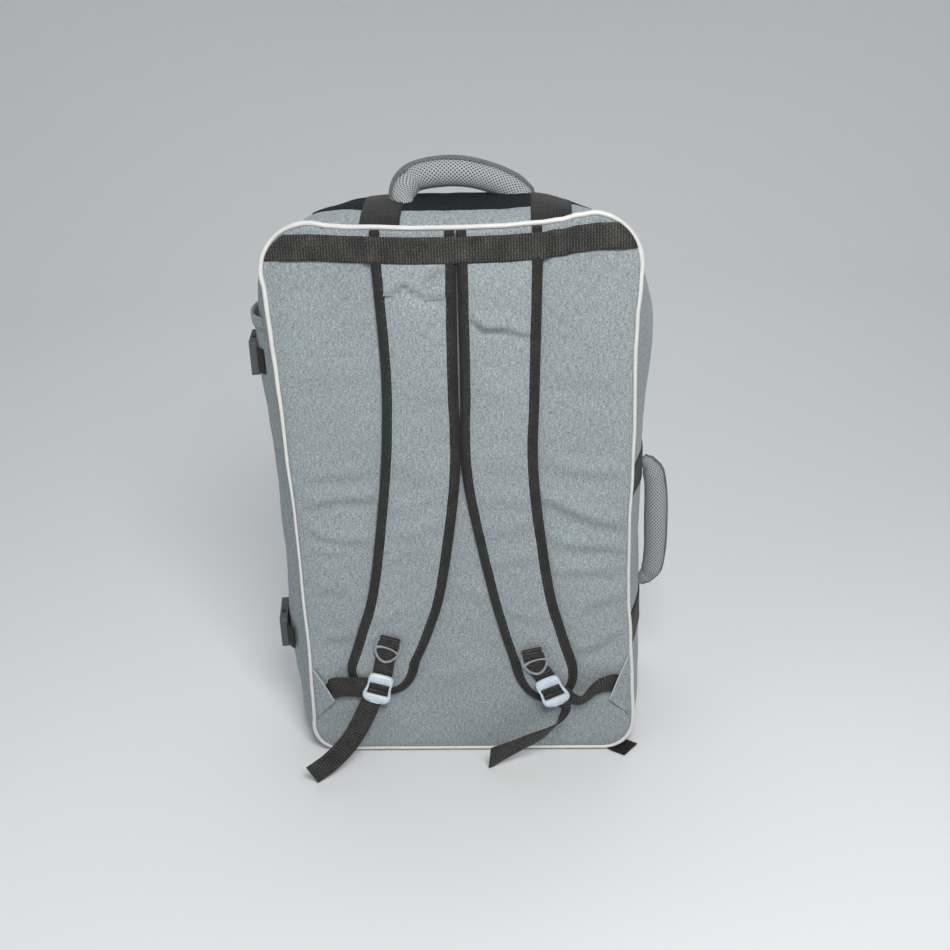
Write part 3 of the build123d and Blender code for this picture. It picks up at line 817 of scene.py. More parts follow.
def strap_height(gap, x, z, folds):
    """Thickness of a strap's padding at a distance from its edge."""
    edge = 4.2 * math.sqrt(max(0.0, 1 - (1 - min(gap / 3.0, 1)) ** 2))
    channel = 1.1 * math.exp(-((gap - BINDING_WIDE) / 2.2) ** 2)
    crown = 4.4 * (1 - math.exp(-max(gap - 2, 0) / 10))
    body = edge + crown - channel
    waves = 0.5 * fuzz(x, 20, z, 30) + 0.25 * fuzz(x, 31, z, 12)
    puckers = 1.1 * fuzz(x * 0.7, 50, z * 1.3, 6.5) * math.exp(-((gap - 13) / 5.5) ** 2)
    waves += puckers * (0.35 + 0.65 * ease((170 - z) / 60))
    body += ease(gap / 12) * (waves + fold_depth(x, z, folds))
    pressed = 3.6 + max(0.0, BAND_LOW - 1 - z) * 0.2
    return min(body, pressed) if body > 0 else body


def strap_pad(side):
    stations = strap_frame(STRAPS[side])
    edge = strap_outline(stations)
    folds = STRAP_FOLDS[side]
    spread = [math.sin(math.pi / 2 * (j / 30 * 2 - 1)) for j in range(31)]
    lines = [[centre + half * u for u in spread] for centre, half in stations]
    gaps = iter(edge_gap([p for line in lines for p in line], edge))
    rows, coords = [], []
    for line in lines:
        high = [strap_height(float(next(gaps)), p.x, p.y, folds) for p in line]
        front = [Vector((p.x, STRAP_BACK - h, p.y)) for p, h in zip(line, high)]
        back = [Vector((p.x, STRAP_BACK + 0.1, p.y)) for p in line]
        cloth = [(p.x, p.y) for p in line]
        rows.append(front + back[::-1])
        coords.append(cloth + cloth[::-1] + [cloth[0]])
    pad = capped_object(f"{side}_strap_padding", rows, coords, MELANGE, flip=True)
    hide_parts(f"{side}_strap_pad")
    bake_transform(pad)
    strap_binding(side, edge, folds)


def strap_binding(side, edge, folds):
    """Tape folded round the strap's edge, from its front face to its back face, and its stitches."""
    line = []
    for p in edge:
        if not line or (p - line[-1]).length > 1.2:
            line.append(p)
    rows, cloth, stitches = [], [], []
    n = len(line)
    for i, (p, length) in enumerate(zip(line, running_lengths(line))):
        tangent = (line[min(i + 2, n - 1)] - line[max(i - 2, 0)]).normalized()
        inward = Vector((-tangent.y, tangent.x, 0))
        wide = BINDING_WIDE + 0.5 * fuzz(p.x, 3, p.y, 26)
        pinch = 1 - 0.12 * abs(fuzz(p.x, 8, p.y, 9))

        def on_pad(d, lift):
            q = p + inward * d
            return Vector((q.x, STRAP_BACK - (strap_height(d, q.x, q.y, folds) + lift), q.y))

        front = [(wide, 0.15), (wide - 0.6, 0.75), (wide - 2.2, 0.95), (wide - 4.2, 1.25), (3.2, 1.3),
                 (1.6, 1.1), (0.3, 0.6)]
        row = [on_pad(d, lift * pinch) for d, lift in front]
        coords = [(k * 1.7, length) for k in range(len(front))]
        for d, behind, across in ((-0.7, -1.6, 12.5), (-0.7, 0.15, 14.2), (3.0, 0.35, 19.0),
                                  (wide - 1, 0.35, 16 + (wide - 1))):
            q = p + inward * d
            row.append(Vector((q.x, STRAP_BACK + behind, q.y)))
            coords.append((across, length))
        rows.append(row)
        cloth.append(coords + [coords[0]])
        if i % 3 == 0:
            stitches.append((on_pad(wide - 1.5, 1.0), Vector((tangent.x, 0, tangent.y)), Vector((0, -1, 0))))
    tape = capped_object(f"{side}_binding_tape", rows, cloth, BINDING)
    thread = teeth_mesh(f"{side}_binding_stitches", stitches, (2.2, 0.45, 0.5), THREAD)
    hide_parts(f"{side}_strap_binding")
    for obj in (thread, tape):
        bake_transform(obj)


def strap_roots():
    for side, (low, high) in {"left": (-73.0, 1.6), "right": (3.8, 79.0)}.items():
        rows, cloth = [], []
        for i in range(12):
            z = BAND_LOW + 1.5 + (HEIGHT - 2.5 - BAND_LOW - 1.5) * i / 11
            row, coords = [], []
            for j in range(31):
                t = j / 30
                x = low + (high - low) * t
                zz = z + along(x, TOP_SAG) * 0.9
                edge = min(t, 1 - t) * (high - low)
                puff = 3.4 * (1 - math.exp(-edge / 3.0)) * (1 - 0.5 * ease((z - 540) / 14))
                row.append(Vector((x, min(panel_front(x, zz), BACK_Y + 4) - 0.3 - puff, zz)))
                coords.append((x, zz))
            rows.append(row)
            cloth.append(coords)
        root = grid_object(f"{side}_root_fabric", rows, cloth, MELANGE)
        thicken(root, 2.5, -1.0)
        edges = []
        for x in (low + 4.2, high - 4.2):
            path = [Vector((x, min(panel_front(x, z), BACK_Y + 4) - 4.3, z + along(x, TOP_SAG) * 0.9))
                    for z in np.linspace(BAND_LOW + 2, HEIGHT - 2, 14)]
            edges.append(ribbon(f"{side}_root_edge", path, (1, 0, 0), 9.0, 1.6, BINDING))
        tape = join(f"{side}_root_binding", edges)
        attach(root, "bag", f"{side}_strap_root")
        attach(tape, "bag")


# ------------------------------------------------------------------ places on the gusset's skin
def slack(x, y, z):
    """The cloth's own waves on the gusset, fading into its seams, and the fullness high on its right side."""
    seam = ease((y - GUSSET_REAR) / 18) * ease((GUSSET_FRONT - y) / 12)
    ripple = 1.1 * fuzz(x * 0.6, y, z * 0.6, 36) + 0.8 * fuzz(x, y * 0.35 + 90, z, 17)
    full = 9.2 * math.exp(-((z - 444) / 72) ** 2) * ease((x - 120) / 30) * seam
    across = (y - GUSSET_REAR) / (GUSSET_FRONT - GUSSET_REAR)
    return ripple * seam - 1.2 * (1 - seam) + full * math.sin(math.pi * min(max(across, 0), 1)) ** 0.8


def off_skin(x, y, z, nx, nz, lift):
    """A point of the gusset moved out along its normal by its waves and a lift."""
    x, z = shaped(x, z, y, nx, nz)
    out = slack(x, y, z) + lift
    return Vector((x + nx * out, y, z + nz * out))


def skin_top(x, y, lift):
    """Point on the top of the gusset, rounding down into its upper corners."""
    half, top, r = reach(y, 2 if x > 0 else 1), reach(y, 3), reach(y, 4)
    over = min(max(abs(x) - (half - r), 0.0), r) / r
    nx, nz = math.copysign(over, x), math.sqrt(1 - over * over)
    return off_skin(x, y, top - r + r * nz, nx, nz, lift)


def skin_side(z, y, sign, lift):
    """Point on the side of the gusset, rounding in to its upper corners."""
    half, top, r = reach(y, 2 if sign > 0 else 1), reach(y, 3), reach(y, 4)
    over = min(max(z - (top - r), 0.0), r) / r
    nx, nz = sign * math.sqrt(1 - over * over), over
    return off_skin(sign * (half - r) + r * nx, y, z, nx, nz, lift)


def patch(name, place, us, vs, material, thick, flip=False, turned=False):
    """Sheet over the grid us by vs; place gives its points, and turned lays its threads the other way."""
    rows = [[place(u, v) for u in us] for v in vs]
    coords = [[(v, u) if turned else (u, v) for u in us] for v in vs]
    return thicken(grid_object(name, rows, coords, material, flip=flip), thick, 1.0)


def handle_anchors():
    """Webbing bands across the top and the right side of the gusset, to which the handles are sewn."""
    rear, front = -96.0, 55.0
    depths = list(np.linspace(rear, front, 60))

    def tuck(u, v, seed):
        return 0.5 + 0.7 * ease((v - rear) / 8) * ease((front - v) / 8) + 0.3 * fuzz(u, v, seed, 9)

    for label, middle, shift in (("left", -66.0, 1.0), ("right", 87.5, 0.0)):
        def on_top(u, v):
            return skin_top(middle + shift * (v + 97) / 79 + u, v, tuck(u, v, 0))

        us = list(np.linspace(-18, 18, 10))
        band = patch(f"top_handle_band_{label}", on_top, us, depths, BLACK_WEBBING, 1.4, True)
        attach(band, "bag", f"top_handle_anchor_{label}")
    for label, middle in (("upper", 298.0), ("lower", 137.0)):
        def on_side(u, v):
            return skin_side(middle + u, v, 1, tuck(u, v, 7))

        us = list(np.linspace(-17, 17, 10))
        band = patch(f"side_handle_band_{label}", on_side, us, depths, BLACK_WEBBING, 1.4)
        attach(band, "bag", f"side_handle_anchor_{label}")


def painted_top_shade():
    """Melange sheet with painted shade, between the handle's bands and over the crest of the top, where the
    handle's shadow and the grazing light darken the top.
    """
    def place(u, v):
        return skin_top(u, v, 0.45 + 0.25 * ease((v + 66) / 6))

    us = list(np.linspace(-128, 124, 90))
    vs = list(np.linspace(-66.0, 54.0, 40))
    # The painted shade lies over the top as this dark sheet.
    panel = patch("top_painted_shade_sheet", place, us, vs, MELANGE_PAINTED_SHADE, 0.8, True)
    attach(panel, "bag")


def slip_pocket():
    """Open-topped flat pocket on the left side, its hem standing a little off the bag."""
    def place(u, v):
        edge = min(u + 74, 44 - u, v - 62)
        stand = 0.4 + 1.6 * (1 - math.exp(-max(edge, 0) / 10)) + 2.6 * ease((v - 440) / 28) * ease(edge / 20)
        full = 4.4 * math.exp(-((v - 428) / 55) ** 2) + 3.8 * math.exp(-((v - 121) / 40) ** 2)
        stand += full * ease(edge / 16) * math.exp(-((u + 34) / 42) ** 2)
        return skin_side(v, u, -1, stand + 0.5 * fuzz(u, 3, v, 24) * ease(edge / 15))

    us = list(np.linspace(-74, 44, 36))
    vs = list(np.linspace(62, 468, 90))
    pocket = patch("slip_pocket_fabric", place, us, vs, MELANGE, 1.0)
    attach(pocket, "bag", "side_slip_pocket")

    def hem(u, v):
        point = place(u, v)
        point.x -= 1.2
        return point

    tape = patch("slip_pocket_hem", hem, us, list(np.linspace(457, 468.6, 6)), MELANGE, 0.9, turned=True)
    attach(tape, "bag")


# ------------------------------------------------------------------ padded handles
def handle(label, spine, tall, deep, outs, cover_angle, pads):
    """Padded handle along a spine: mesh all round, with heathered cloth over its outer side, cover_angle
    degrees to either side of the outward direction. That direction turns through outs, tall and deep are
    the half sizes along and across it, and pads gives the fullness along the spine."""
    count, sides = 70, 28
    path = catmull(spine, count)
    tangents = frames_along(path)
    spread = math.radians(cover_angle)
    grip_rows, grip_cloth, cover_rows, cover_cloth = [], [], [], []
    for i, (p, length) in enumerate(zip(path, running_lengths(path))):
        t = i / (count - 1)
        out = Vector([along(t, [(place, vector[axis]) for place, vector in outs]) for axis in range(3)])
        outward = (out - tangents[i] * tangents[i].dot(out)).normalized()
        across = tangents[i].cross(outward)
        full = along(t, pads)
        dent = 1 + 0.03 * fuzz(t * 140, 4, 0, 9)
        grip = []
        for j in range(sides):
            a = 2 * math.pi * j / sides
            lift, wide = math.cos(a), math.sin(a)
            shrink = 1 - 0.05 * max(lift, 0)
            grip.append(p + (outward * lift * tall * shrink + across * wide * deep) * full * dent)
        grip_rows.append(grip)
        grip_cloth.append([(2 * math.pi * j / sides * (tall + deep) / 2, length) for j in range(sides + 1)])
        cover, coords = [], []
        for j in range(19):
            a = -spread + 2 * spread * j / 18
            rise = 0.9 + 0.5 * (1 - (j / 9 - 1) ** 2)
            radius = (outward * math.cos(a) * tall + across * math.sin(a) * deep) * full
            cover.append(p + radius + radius.normalized() * rise)
            coords.append((a * (tall + deep) / 2, length))
        cover_rows.append(cover)
        cover_cloth.append(coords)
    grip = capped_object(f"{label}_mesh_grip", grip_rows, grip_cloth, MESH, flip=True)
    cover = grid_object(f"{label}_cloth_cover", cover_rows, cover_cloth, MELANGE_DARK)
    thicken(cover, 1.3, -1.0)
    attach(grip, f"{label}_handle", f"{label}_handle_grip")
    attach(cover, f"{label}_handle", f"{label}_handle_cover")


def handles():
    handle("top",
           [(-45, -47, 561), (-50, -34, 570), (-42, -20, 584), (-20, -18, 589.5), (8, -18, 589),
            (36, -18, 581.5), (57, -22, 571.5), (69, -27, 562)], 13.0, 12.0,
           [(0, (-1, 0.9, 0.1)), (0.14, (-1, 0.6, 0.4)), (0.30, (0.1, 0.3, 1)), (0.8, (0.2, 0.3, 1)),
            (1, (0.6, 0.5, 0.8))], 46,
           [(0, 0.66), (0.10, 0.86), (0.25, 1.0), (0.5, 1.06), (0.8, 0.98), (0.93, 0.80), (1, 0.55)])
    handle("side",
           [(180.4, -18, 299), (189.6, -18, 285.5), (193.4, -18, 262), (194, -18, 226), (193.6, -18, 194),
            (190, -18, 172), (178.8, -18, 156.8)], 11.5, 12.4,
           [(0, (1, 0.35, 0))], 42,
           [(0, 0.34), (0.08, 0.64), (0.2, 0.92), (0.5, 1.0), (0.8, 0.90), (0.92, 0.64), (1, 0.34)])


# ------------------------------------------------------------------ strap hardware
# Lean of the adjusters and the rings, and their places (x, z).
HARDWARE_Y = -116.0
LEAN = {"left": math.radians(-17), "right": math.radians(25)}
RING = {"left": (-82.5, 135.0), "right": (65.8, 119.5)}
RING_LEAN = {"left": math.radians(-17), "right": math.radians(12)}
LOCK_AT = {"left": (-94.0, 91.0), "right": (83.0, 86.0)}


def strap_point(side, centre, across, down, out, lean=None):
    """Point from hardware coordinates: across the strap, down it, and outwards."""
    lean = LEAN[side] if lean is None else lean
    x = centre[0] + across * math.cos(lean) + down * math.sin(lean)
    z = centre[1] + across * math.sin(lean) - down * math.cos(lean)
    return Vector((x, HARDWARE_Y - out, z))


def ring_webbing():
    """Sewn webbing strip with the loop that holds the ring."""
    run = [(6, 1.0), (-3, 0.9), (-10, 0.9), (-13.5, 1.3), (-15.6, 3.2), (-14.2, 5.0), (-11, 5.5), (-7.5, 4.6),
           (-5.0, 2.7), (-3.6, 1.9)]
    for side in ("left", "right"):
        centre, lean, lock = RING[side], RING_LEAN[side], LOCK_AT[side]
        down = [strap_point(side, lock, 0, d, o) for d, o in ((4, 0.9), (-8, 1.0), (-18, 1.1))]
        down += [strap_point(side, centre, 0, d, o, lean) for d, o in run]
        angles = [LEAN[side]] * 3 + [LEAN[side] * 0.4 + lean * 0.6] + [lean] * (len(down) - 4)
        across = catmull([(math.cos(a), 0, math.sin(a)) for a in angles], 70)
        loop = ribbon(f"{side}_ring_loop", catmull(down, 70), across, 20.0, WEB_THICK, WEBBING)
        attach(loop, f"{side}_strap", f"{side}_strap_webbing")


def d_rings():
    """Rounded D-shaped ring with a curved bar across it."""
    shape = [(-11.6, -9.5), (-12.5, -4), (-12.0, 1.5), (-9.4, 7.2), (-5.2, 11.8), (0, 13.8), (5.2, 11.8),
             (9.4, 7.2), (12.0, 1.5), (12.5, -4), (11.6, -9.5), (8.5, -11.6), (0, -11.9), (-8.5, -11.6),
             (-11.6, -9.5)]
    bars = {
        "left": [(-12.3, -1.0), (-8, -2.6), (-3, -3.0), (3, -2.4), (8, -0.8), (11.9, 2.2)],
        "right": [(-12.1, 2.4), (-8, -0.4), (-3, -2.0), (3, -2.6), (8, -2.4), (12.4, -1.4)],
    }
    for side, bar in bars.items():
        centre, lean = RING[side], RING_LEAN[side]
        path = catmull([strap_point(side, centre, u, v, 2.7, lean) for u, v in shape], 97)[:-1]
        rim = tube(f"{side}_ring_rim", path, 1.3, RING_PLASTIC, 14, closed=True)
        path = catmull([strap_point(side, centre, u, v, 3.3, lean) for u, v in bar], 24)
        radii = [0.95 + 0.9 * (1 - ease(i / 11)) + 0.25 * ease((i - 18) / 6) for i in range(24)]
        ring = join(f"{side}_ring_moulding", [rim, tube(f"{side}_ring_bar", path, radii, RING_PLASTIC, 14)])
        attach(ring, f"{side}_d_ring", f"{side}_d_ring")


LOCK_OUTER = [(0, -17.6), (6, -17.4), (10.5, -16.4), (12.6, -13.4), (12.9, -9), (12.5, -4), (13.0, 0),
              (14.0, 4.5), (14.6, 8.5), (13.6, 12.5), (10.5, 15.8), (6, 17.4), (0, 17.9)]
LOCK_INNER = [(0, -6.6), (5, -6.6), (9.2, -6.5), (10.1, -5.9), (10.2, -4), (10.2, -2), (10.3, 0), (10.5, 2),
              (10.8, 4), (10.7, 6.0), (9.8, 6.8), (5, 6.9), (0, 6.9)]


def mirrored(half):
    return half + [(-u, v) for u, v in half[-2:0:-1]]


def lock_plate(side, centre):
    """The adjuster's plate: rings round its window, from the window's edge to the outer edge."""
    outer = catmull([(u, v, 0) for u, v in mirrored(LOCK_OUTER) + [LOCK_OUTER[0]]], 121)[:-1]
    inner = catmull([(u, v, 0) for u, v in mirrored(LOCK_INNER) + [LOCK_INNER[0]]], 121)[:-1]
    profile = [(0.0, 3.4), (0.0, 6.0), (0.10, 6.9), (0.3, 7.4), (0.55, 7.5), (0.8, 7.0), (0.94, 6.0),
               (1.0, 4.8), (0.97, 3.6), (0.5, 3.2)]
    rows = []
    for share, out in profile:
        row = []
        for a, b in zip(inner, outer):
            p = a.lerp(b, share)
            wide = ease((abs(p.y) - 8) / 6)
            dome = 0.9 * math.sin(math.pi * share) * wide if out > 5 else 0.0
            tip = 0.8 * ease((p.y - 8) / 8) if out > 4 else 0.0
            row.append(strap_point(side, centre, p.x, p.y, out + dome - tip))
        rows.append(row)
    rows.append(rows[0])
    cloth = [[(0, 0)] * (len(inner) + 1)] * len(rows)
    return grid_object(f"{side}_lock_plate", rows, cloth, LOCK, wrap=True, flip=True)


def ladder_locks():
    """Moulded strap adjusters: a domed top plate, a window for the webbing and a ribbed lip."""
    windows = ([(-13, 2.6), (-9, 3.8), (-5.5, 4.9), (-2.6, 5.0), (-0.6, 3.8), (-0.3, 2.0)],
               [(0.8, 2.0), (1.2, 3.6), (2.8, 4.6), (5.2, 4.4), (8, 3.0), (12, 2.0)])
    for side in ("left", "right"):
        centre = LOCK_AT[side]
        parts = [lock_plate(side, centre)]
        for k in range(4):
            down, reach_out = 10.6 + k * 1.5, 7.5 - 0.9 * k
            bar = [strap_point(side, centre, u, down + 0.5 * (1 - (u / 9) ** 2), 7.35 - 0.12 * k)
                   for u in np.linspace(-reach_out, reach_out, 9)]
            parts.append(tube(f"{side}_lock_rib_{k}", bar, 0.42, LOCK, 8))
        middle_bar = [strap_point(side, centre, u, 0.2, 1.2) for u in (-11.5, -6, 0, 6, 11.5)]
        parts.append(tube(f"{side}_lock_bar", middle_bar, 1.2, LOCK, 10))
        plate = join(f"{side}_lock_moulding", parts)
        clean_seams(plate)
        attach(plate, f"{side}_ladder_lock", f"{side}_ladder_lock")
        across = (math.cos(LEAN[side]), 0, math.sin(LEAN[side]))
        strips = []
        for k, run in enumerate(windows):
            path = catmull([strap_point(side, centre, 0, d, o) for d, o in run], 26)
            strips.append(ribbon(f"{side}_window_web_{k}", path, across, 20.2, 1.4, WEBBING))
        attach(join(f"{side}_window_webbing", strips), f"{side}_ladder_lock")


def clean_seams(obj):
    """Merge doubled points and turn every face outwards."""
    mesh = bmesh.new()
    mesh.from_mesh(obj.data)
    bmesh.ops.remove_doubles(mesh, verts=mesh.verts, dist=1e-6)
    bmesh.ops.recalc_face_normals(mesh, faces=mesh.faces)
    mesh.to_mesh(obj.data)
    mesh.free()


def adjusters():
    """Webbing from each corner wing to its lock; the right one twists once."""
    runs = {
        "left": ([(-152.5, -103.6, 79), (-147, -105.8, 81.5), (-139, -109, 86), (-129, -112.5, 88.6),
                  (-114, -116.0, 90.5), (-101, -118.2, 91), (-90, -118.3, 91.5)],
                 [(0.45, 0, 0.9), (0.42, 0, 0.9), (0.25, -0.1, 0.95), (0.1, -0.15, 1), (-0.05, -0.1, 1),
                  (-0.25, 0, 0.97), (-0.29, 0, 0.95)],
                 [16, 19, 22, 24, 25, 24, 24]),
        "right": ([(154.5, -103.6, 86), (149.5, -105.6, 86.5), (142, -109, 88.5), (132.5, -112.5, 87.5),
                   (124, -115.5, 83), (117.5, -117.5, 77), (110.5, -118.6, 74), (102, -118.6, 76.5),
                   (93, -118.3, 81), (84, -118.2, 84)],
                  [(-0.25, 0, 0.96), (-0.2, 0, 0.97), (-0.05, -0.1, 0.99), (-0.2, -0.2, 0.95),
                   (-0.45, -0.35, 0.8), (-0.5, -0.45, 0.7), (-0.15, -0.4, 0.9), (0.2, -0.3, 0.93),
                   (0.35, 0, 0.93), (0.4, 0, 0.9)],
                  [17, 18, 20, 19, 15, 13, 15, 18, 20, 22]),
    }
    for side, run in runs.items():
        web = swept_web(f"{side}_adjuster_band", run, 90)
        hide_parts(f"{side}_adjuster_webbing")
        if side == "left":
            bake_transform(web)
        else:
            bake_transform(web)


def tails():
    """Loose webbing ends hanging from the locks and over the floor."""
    runs = {
        "left": ([(-92, -117.2, 95), (-97, -117.6, 83), (-103.5, -119, 73.5), (-109, -122.5, 62.6),
                  (-116.5, -129, 50), (-127, -137, 36.5), (-144, -148, 22.5), (-163, -157, 12.2)],
                 [(1, 0, -0.29), (1, 0, -0.3), (1, 0, -0.36), (1, 0.05, -0.5), (0.85, 0.15, -0.72),
                  (0.68, 0.2, -0.84), (0.5, 0.2, -0.88), (0.34, 0.2, -0.92)],
                 [20, 20, 20.5, 21, 21.5, 22.5, 24, 25]),
        "right": ([(81, -117.2, 91), (86, -117.6, 81), (93, -119, 73), (96, -121.5, 66), (92, -124.5, 58),
                   (85, -127.5, 50.5), (69.6, -130.5, 41), (49, -132, 31), (30, -133, 21.5),
                   (17.5, -133, 14.0)],
                  [(1, 0, 0.45), (1, 0, 0.45), (0.9, -0.35, 0.5), (0.6, -0.75, 0.45), (0.3, -0.9, 0.4),
                   (0.1, -0.75, 0.7), (0.05, -0.5, 0.85), (0.1, -0.4, 0.9), (0.25, -0.25, 0.92),
                   (0.42, -0.15, 0.9)],
                  [20, 20, 17, 16, 17, 20, 22.5, 24, 24.5, 24.5]),
    }
    for side, run in runs.items():
        tail = swept_web(f"{side}_tail_band", run, 120, crown=0.5, cut=0.75 if side == "right" else 0.0)
        for vert in tail.data.vertices:
            vert.co.z = max(vert.co.z, FLOOR_GAP)
        attach(tail, f"{side}_ladder_lock", f"{side}_webbing_tail")


# Top, point and low corner (x, z) of each wing.
WINGS = {
    "left": [(-163.0, 104), (-142.0, 69), (-164.5, 45)],
    "right": [(160.5, 116), (141.5, 68), (162.5, 47)],
}


def wings():
    """Triangles of the panel cloth at the lower corners, under which the adjuster webbing is sewn."""
    for side, (top, point, low) in WINGS.items():
        count = 26
        turn = (top[1] - point[1]) / (top[1] - low[1])
        rows, cloth = [], []
        for i in range(count + 1):
            t = i / count
            z = top[1] + (low[1] - top[1]) * t
            if t < turn:
                inner = top[0] + (point[0] - top[0]) * (t / turn)
            else:
                inner = point[0] + (low[0] - point[0]) * ((t - turn) / (1 - turn))
            bow = -1.4 * math.sin(math.pi * min(t / turn, 1))
            inner += bow if side == "right" else -bow
            row, coords = [], []
            for j in range(17):
                s = j / 16
                x = top[0] + (inner - top[0]) * s
                stand = 1.2 + 4.4 * ease(s) * math.sin(math.pi * min(t * 1.05, 1)) + 0.5 * fuzz(x, 2, z, 14)
                row.append(Vector((x, min(panel_front(x, z), BACK_Y + 3) - stand, z)))
                coords.append((x, z))
            rows.append(row)
            cloth.append(coords)
        wing = grid_object(f"{side}_wing_cloth", rows, cloth, MELANGE, flip=(side == "left"))
        thicken(wing, 1.2, -1.0)
        edge = [row[-1] + Vector((0, -0.3, 0)) for row in rows[:int(count * turn) + 1]]
        trim = tube(f"{side}_wing_edge", edge, 0.55, PALE_EDGE, 8)
        attach(wing, "bag", f"{side}_wing")
        attach(trim, "bag")


def corner_tab():
    """Loose end of webbing lying on the floor at the corner of the base, right of the photograph."""
    path = catmull([(147, -86.5, 1.4), (153, -92, 1.2), (160, -96.5, 1.2), (165, -100.2, 1.3)], 16)
    tab = ribbon("corner_tab_web", path, (14.0, 21.5, 0), 25.5, 1.4, BLACK_WEBBING)
    attach(tab, "bag", "corner_tab")


# ------------------------------------------------------------------ clamshell front
def flap_half(y):
    return FLAP_HALF - 9.0 * (y - ZIP_FRONT_Y) / (FRONT_Y - ZIP_FRONT_Y)


def flap_row(y, lift=0.0):
    share = (y - ZIP_FRONT_Y) / (FRONT_Y - ZIP_FRONT_Y)
    half = flap_half(y)
    ring = []
    for x, z, nx, nz in outline(half, half, 2 + 8 * share, FRONT_HEIGHT - 1 - 9 * share, 100 - 8 * share,
                                R_BOTTOM):
        ripple = 0.7 * fuzz(x * 0.6, y, z * 0.6, 30) * (1 - max(0, -nz))
        puff = ripple + 1.2 * math.sin(math.pi * share) + lift
        ring.append(Vector((x + nx * puff, y, max(z + nz * puff, 1.0))))
    return ring


def face_panel(name, half, low, high, r_top, r_bottom, depth, columns, heights, material, thick):
    """Upright cloth panel facing forwards; depth gives its y at a place."""
    rows, cloth = [], []
    for k in range(heights + 1):
        t = k / heights
        z = low + (high - low) * (t - 0.045 * math.sin(2 * math.pi * t))
        rise, r = 0.0, 1.0
        if z > high - r_top:
            rise, r = z - (high - r_top), r_top
        elif z < low + r_bottom:
            rise, r = (low + r_bottom) - z, r_bottom
        cut = r - math.sqrt(max(r * r - rise * rise, 0.0)) if rise > 0 else 0.0
        wide = half - cut
        row, coords = [], []
        for j in range(columns + 1):
            s = j / columns
            x = -wide + 2 * wide * (s - 0.045 * math.sin(2 * math.pi * s))
            row.append(Vector((x, depth(x, z), z)))
            coords.append((x, z))
        rows.append(row)
        cloth.append(coords)
    panel = grid_object(name, rows, cloth, material, flip=True)
    return thicken(panel, thick, -1.0)


def front_shell():
    depths = list(np.linspace(ZIP_FRONT_Y, FRONT_Y - 2.5, 14))
    rows = [flap_row(y) for y in depths]
    lengths = running_lengths(rows[5] + rows[5][:1])
    cloth = [[(length, y) for length in lengths] for y in depths]
    wall = grid_object("front_wall_fabric", rows, cloth, MELANGE, wrap=True, flip=True)
    thicken(wall, 1.2, -1.0)
    attach(wall, "front_flap")

    def face(x, z):
        gap = rounded_gap(x, z, FRONT_PANEL_HALF, FRONT_PANEL_HALF, 9, FRONT_HEIGHT - 9, 92, 34)
        waves = 0.5 * fuzz(x, 40, z, 50) * ease(gap / 25)
        return FRONT_Y - 2.0 + 3.0 * (1 - math.exp(-max(gap, 0) / 8)) + waves - 0.8

    panel = face_panel("front_panel_fabric", FRONT_PANEL_HALF, 9.5, FRONT_HEIGHT - 9.5, 91, 34, face, 70, 120,
                       MELANGE, 3.0)
    attach(panel, "front_flap", "front_shell")
    inner_rows = [flap_row(y, -2.6) for y in depths]
    lining = grid_object("front_lining", inner_rows, cloth, LINING, wrap=True)
    thicken(lining, 0.6, 1.0)
    attach(lining, "front_flap")

    def inner_face(x, z):
        return face(x, z) - 4.2

    back = face_panel("front_panel_lining", FRONT_PANEL_HALF, 10, FRONT_HEIGHT - 10, 90, 34, inner_face, 30,
                      50, LINING, 0.5)
    attach(back, "front_flap")


# Bottom, top and depth of the front pockets.
POCKETS = {"lower": (40.0, 285.0, 20.0), "upper": (303.0, 503.0, 16.0)}


def teeth_mesh(name, places, size, material):
    """Many small zipper teeth; places are (centre, along, outward)."""
    verts, faces = [], []
    for centre, run, outward in places:
        cross = run.cross(outward).normalized()
        start = len(verts)
        for a in (-1, 1):
            for b in (-1, 1):
                for c in (-1, 1):
                    verts.append(centre + run * (a * size[0] / 2) + cross * (b * size[1] / 2)
                                 + outward * (c * size[2] / 2))
        for quad in ((0, 1, 3, 2), (4, 6, 7, 5), (0, 4, 5, 1), (2, 3, 7, 6), (0, 2, 6, 4), (1, 5, 7, 3)):
            faces.append([start + k for k in quad])
    return make_object(name, verts, faces, [[(0, 0)] * 4] * len(faces), material, smooth=False)


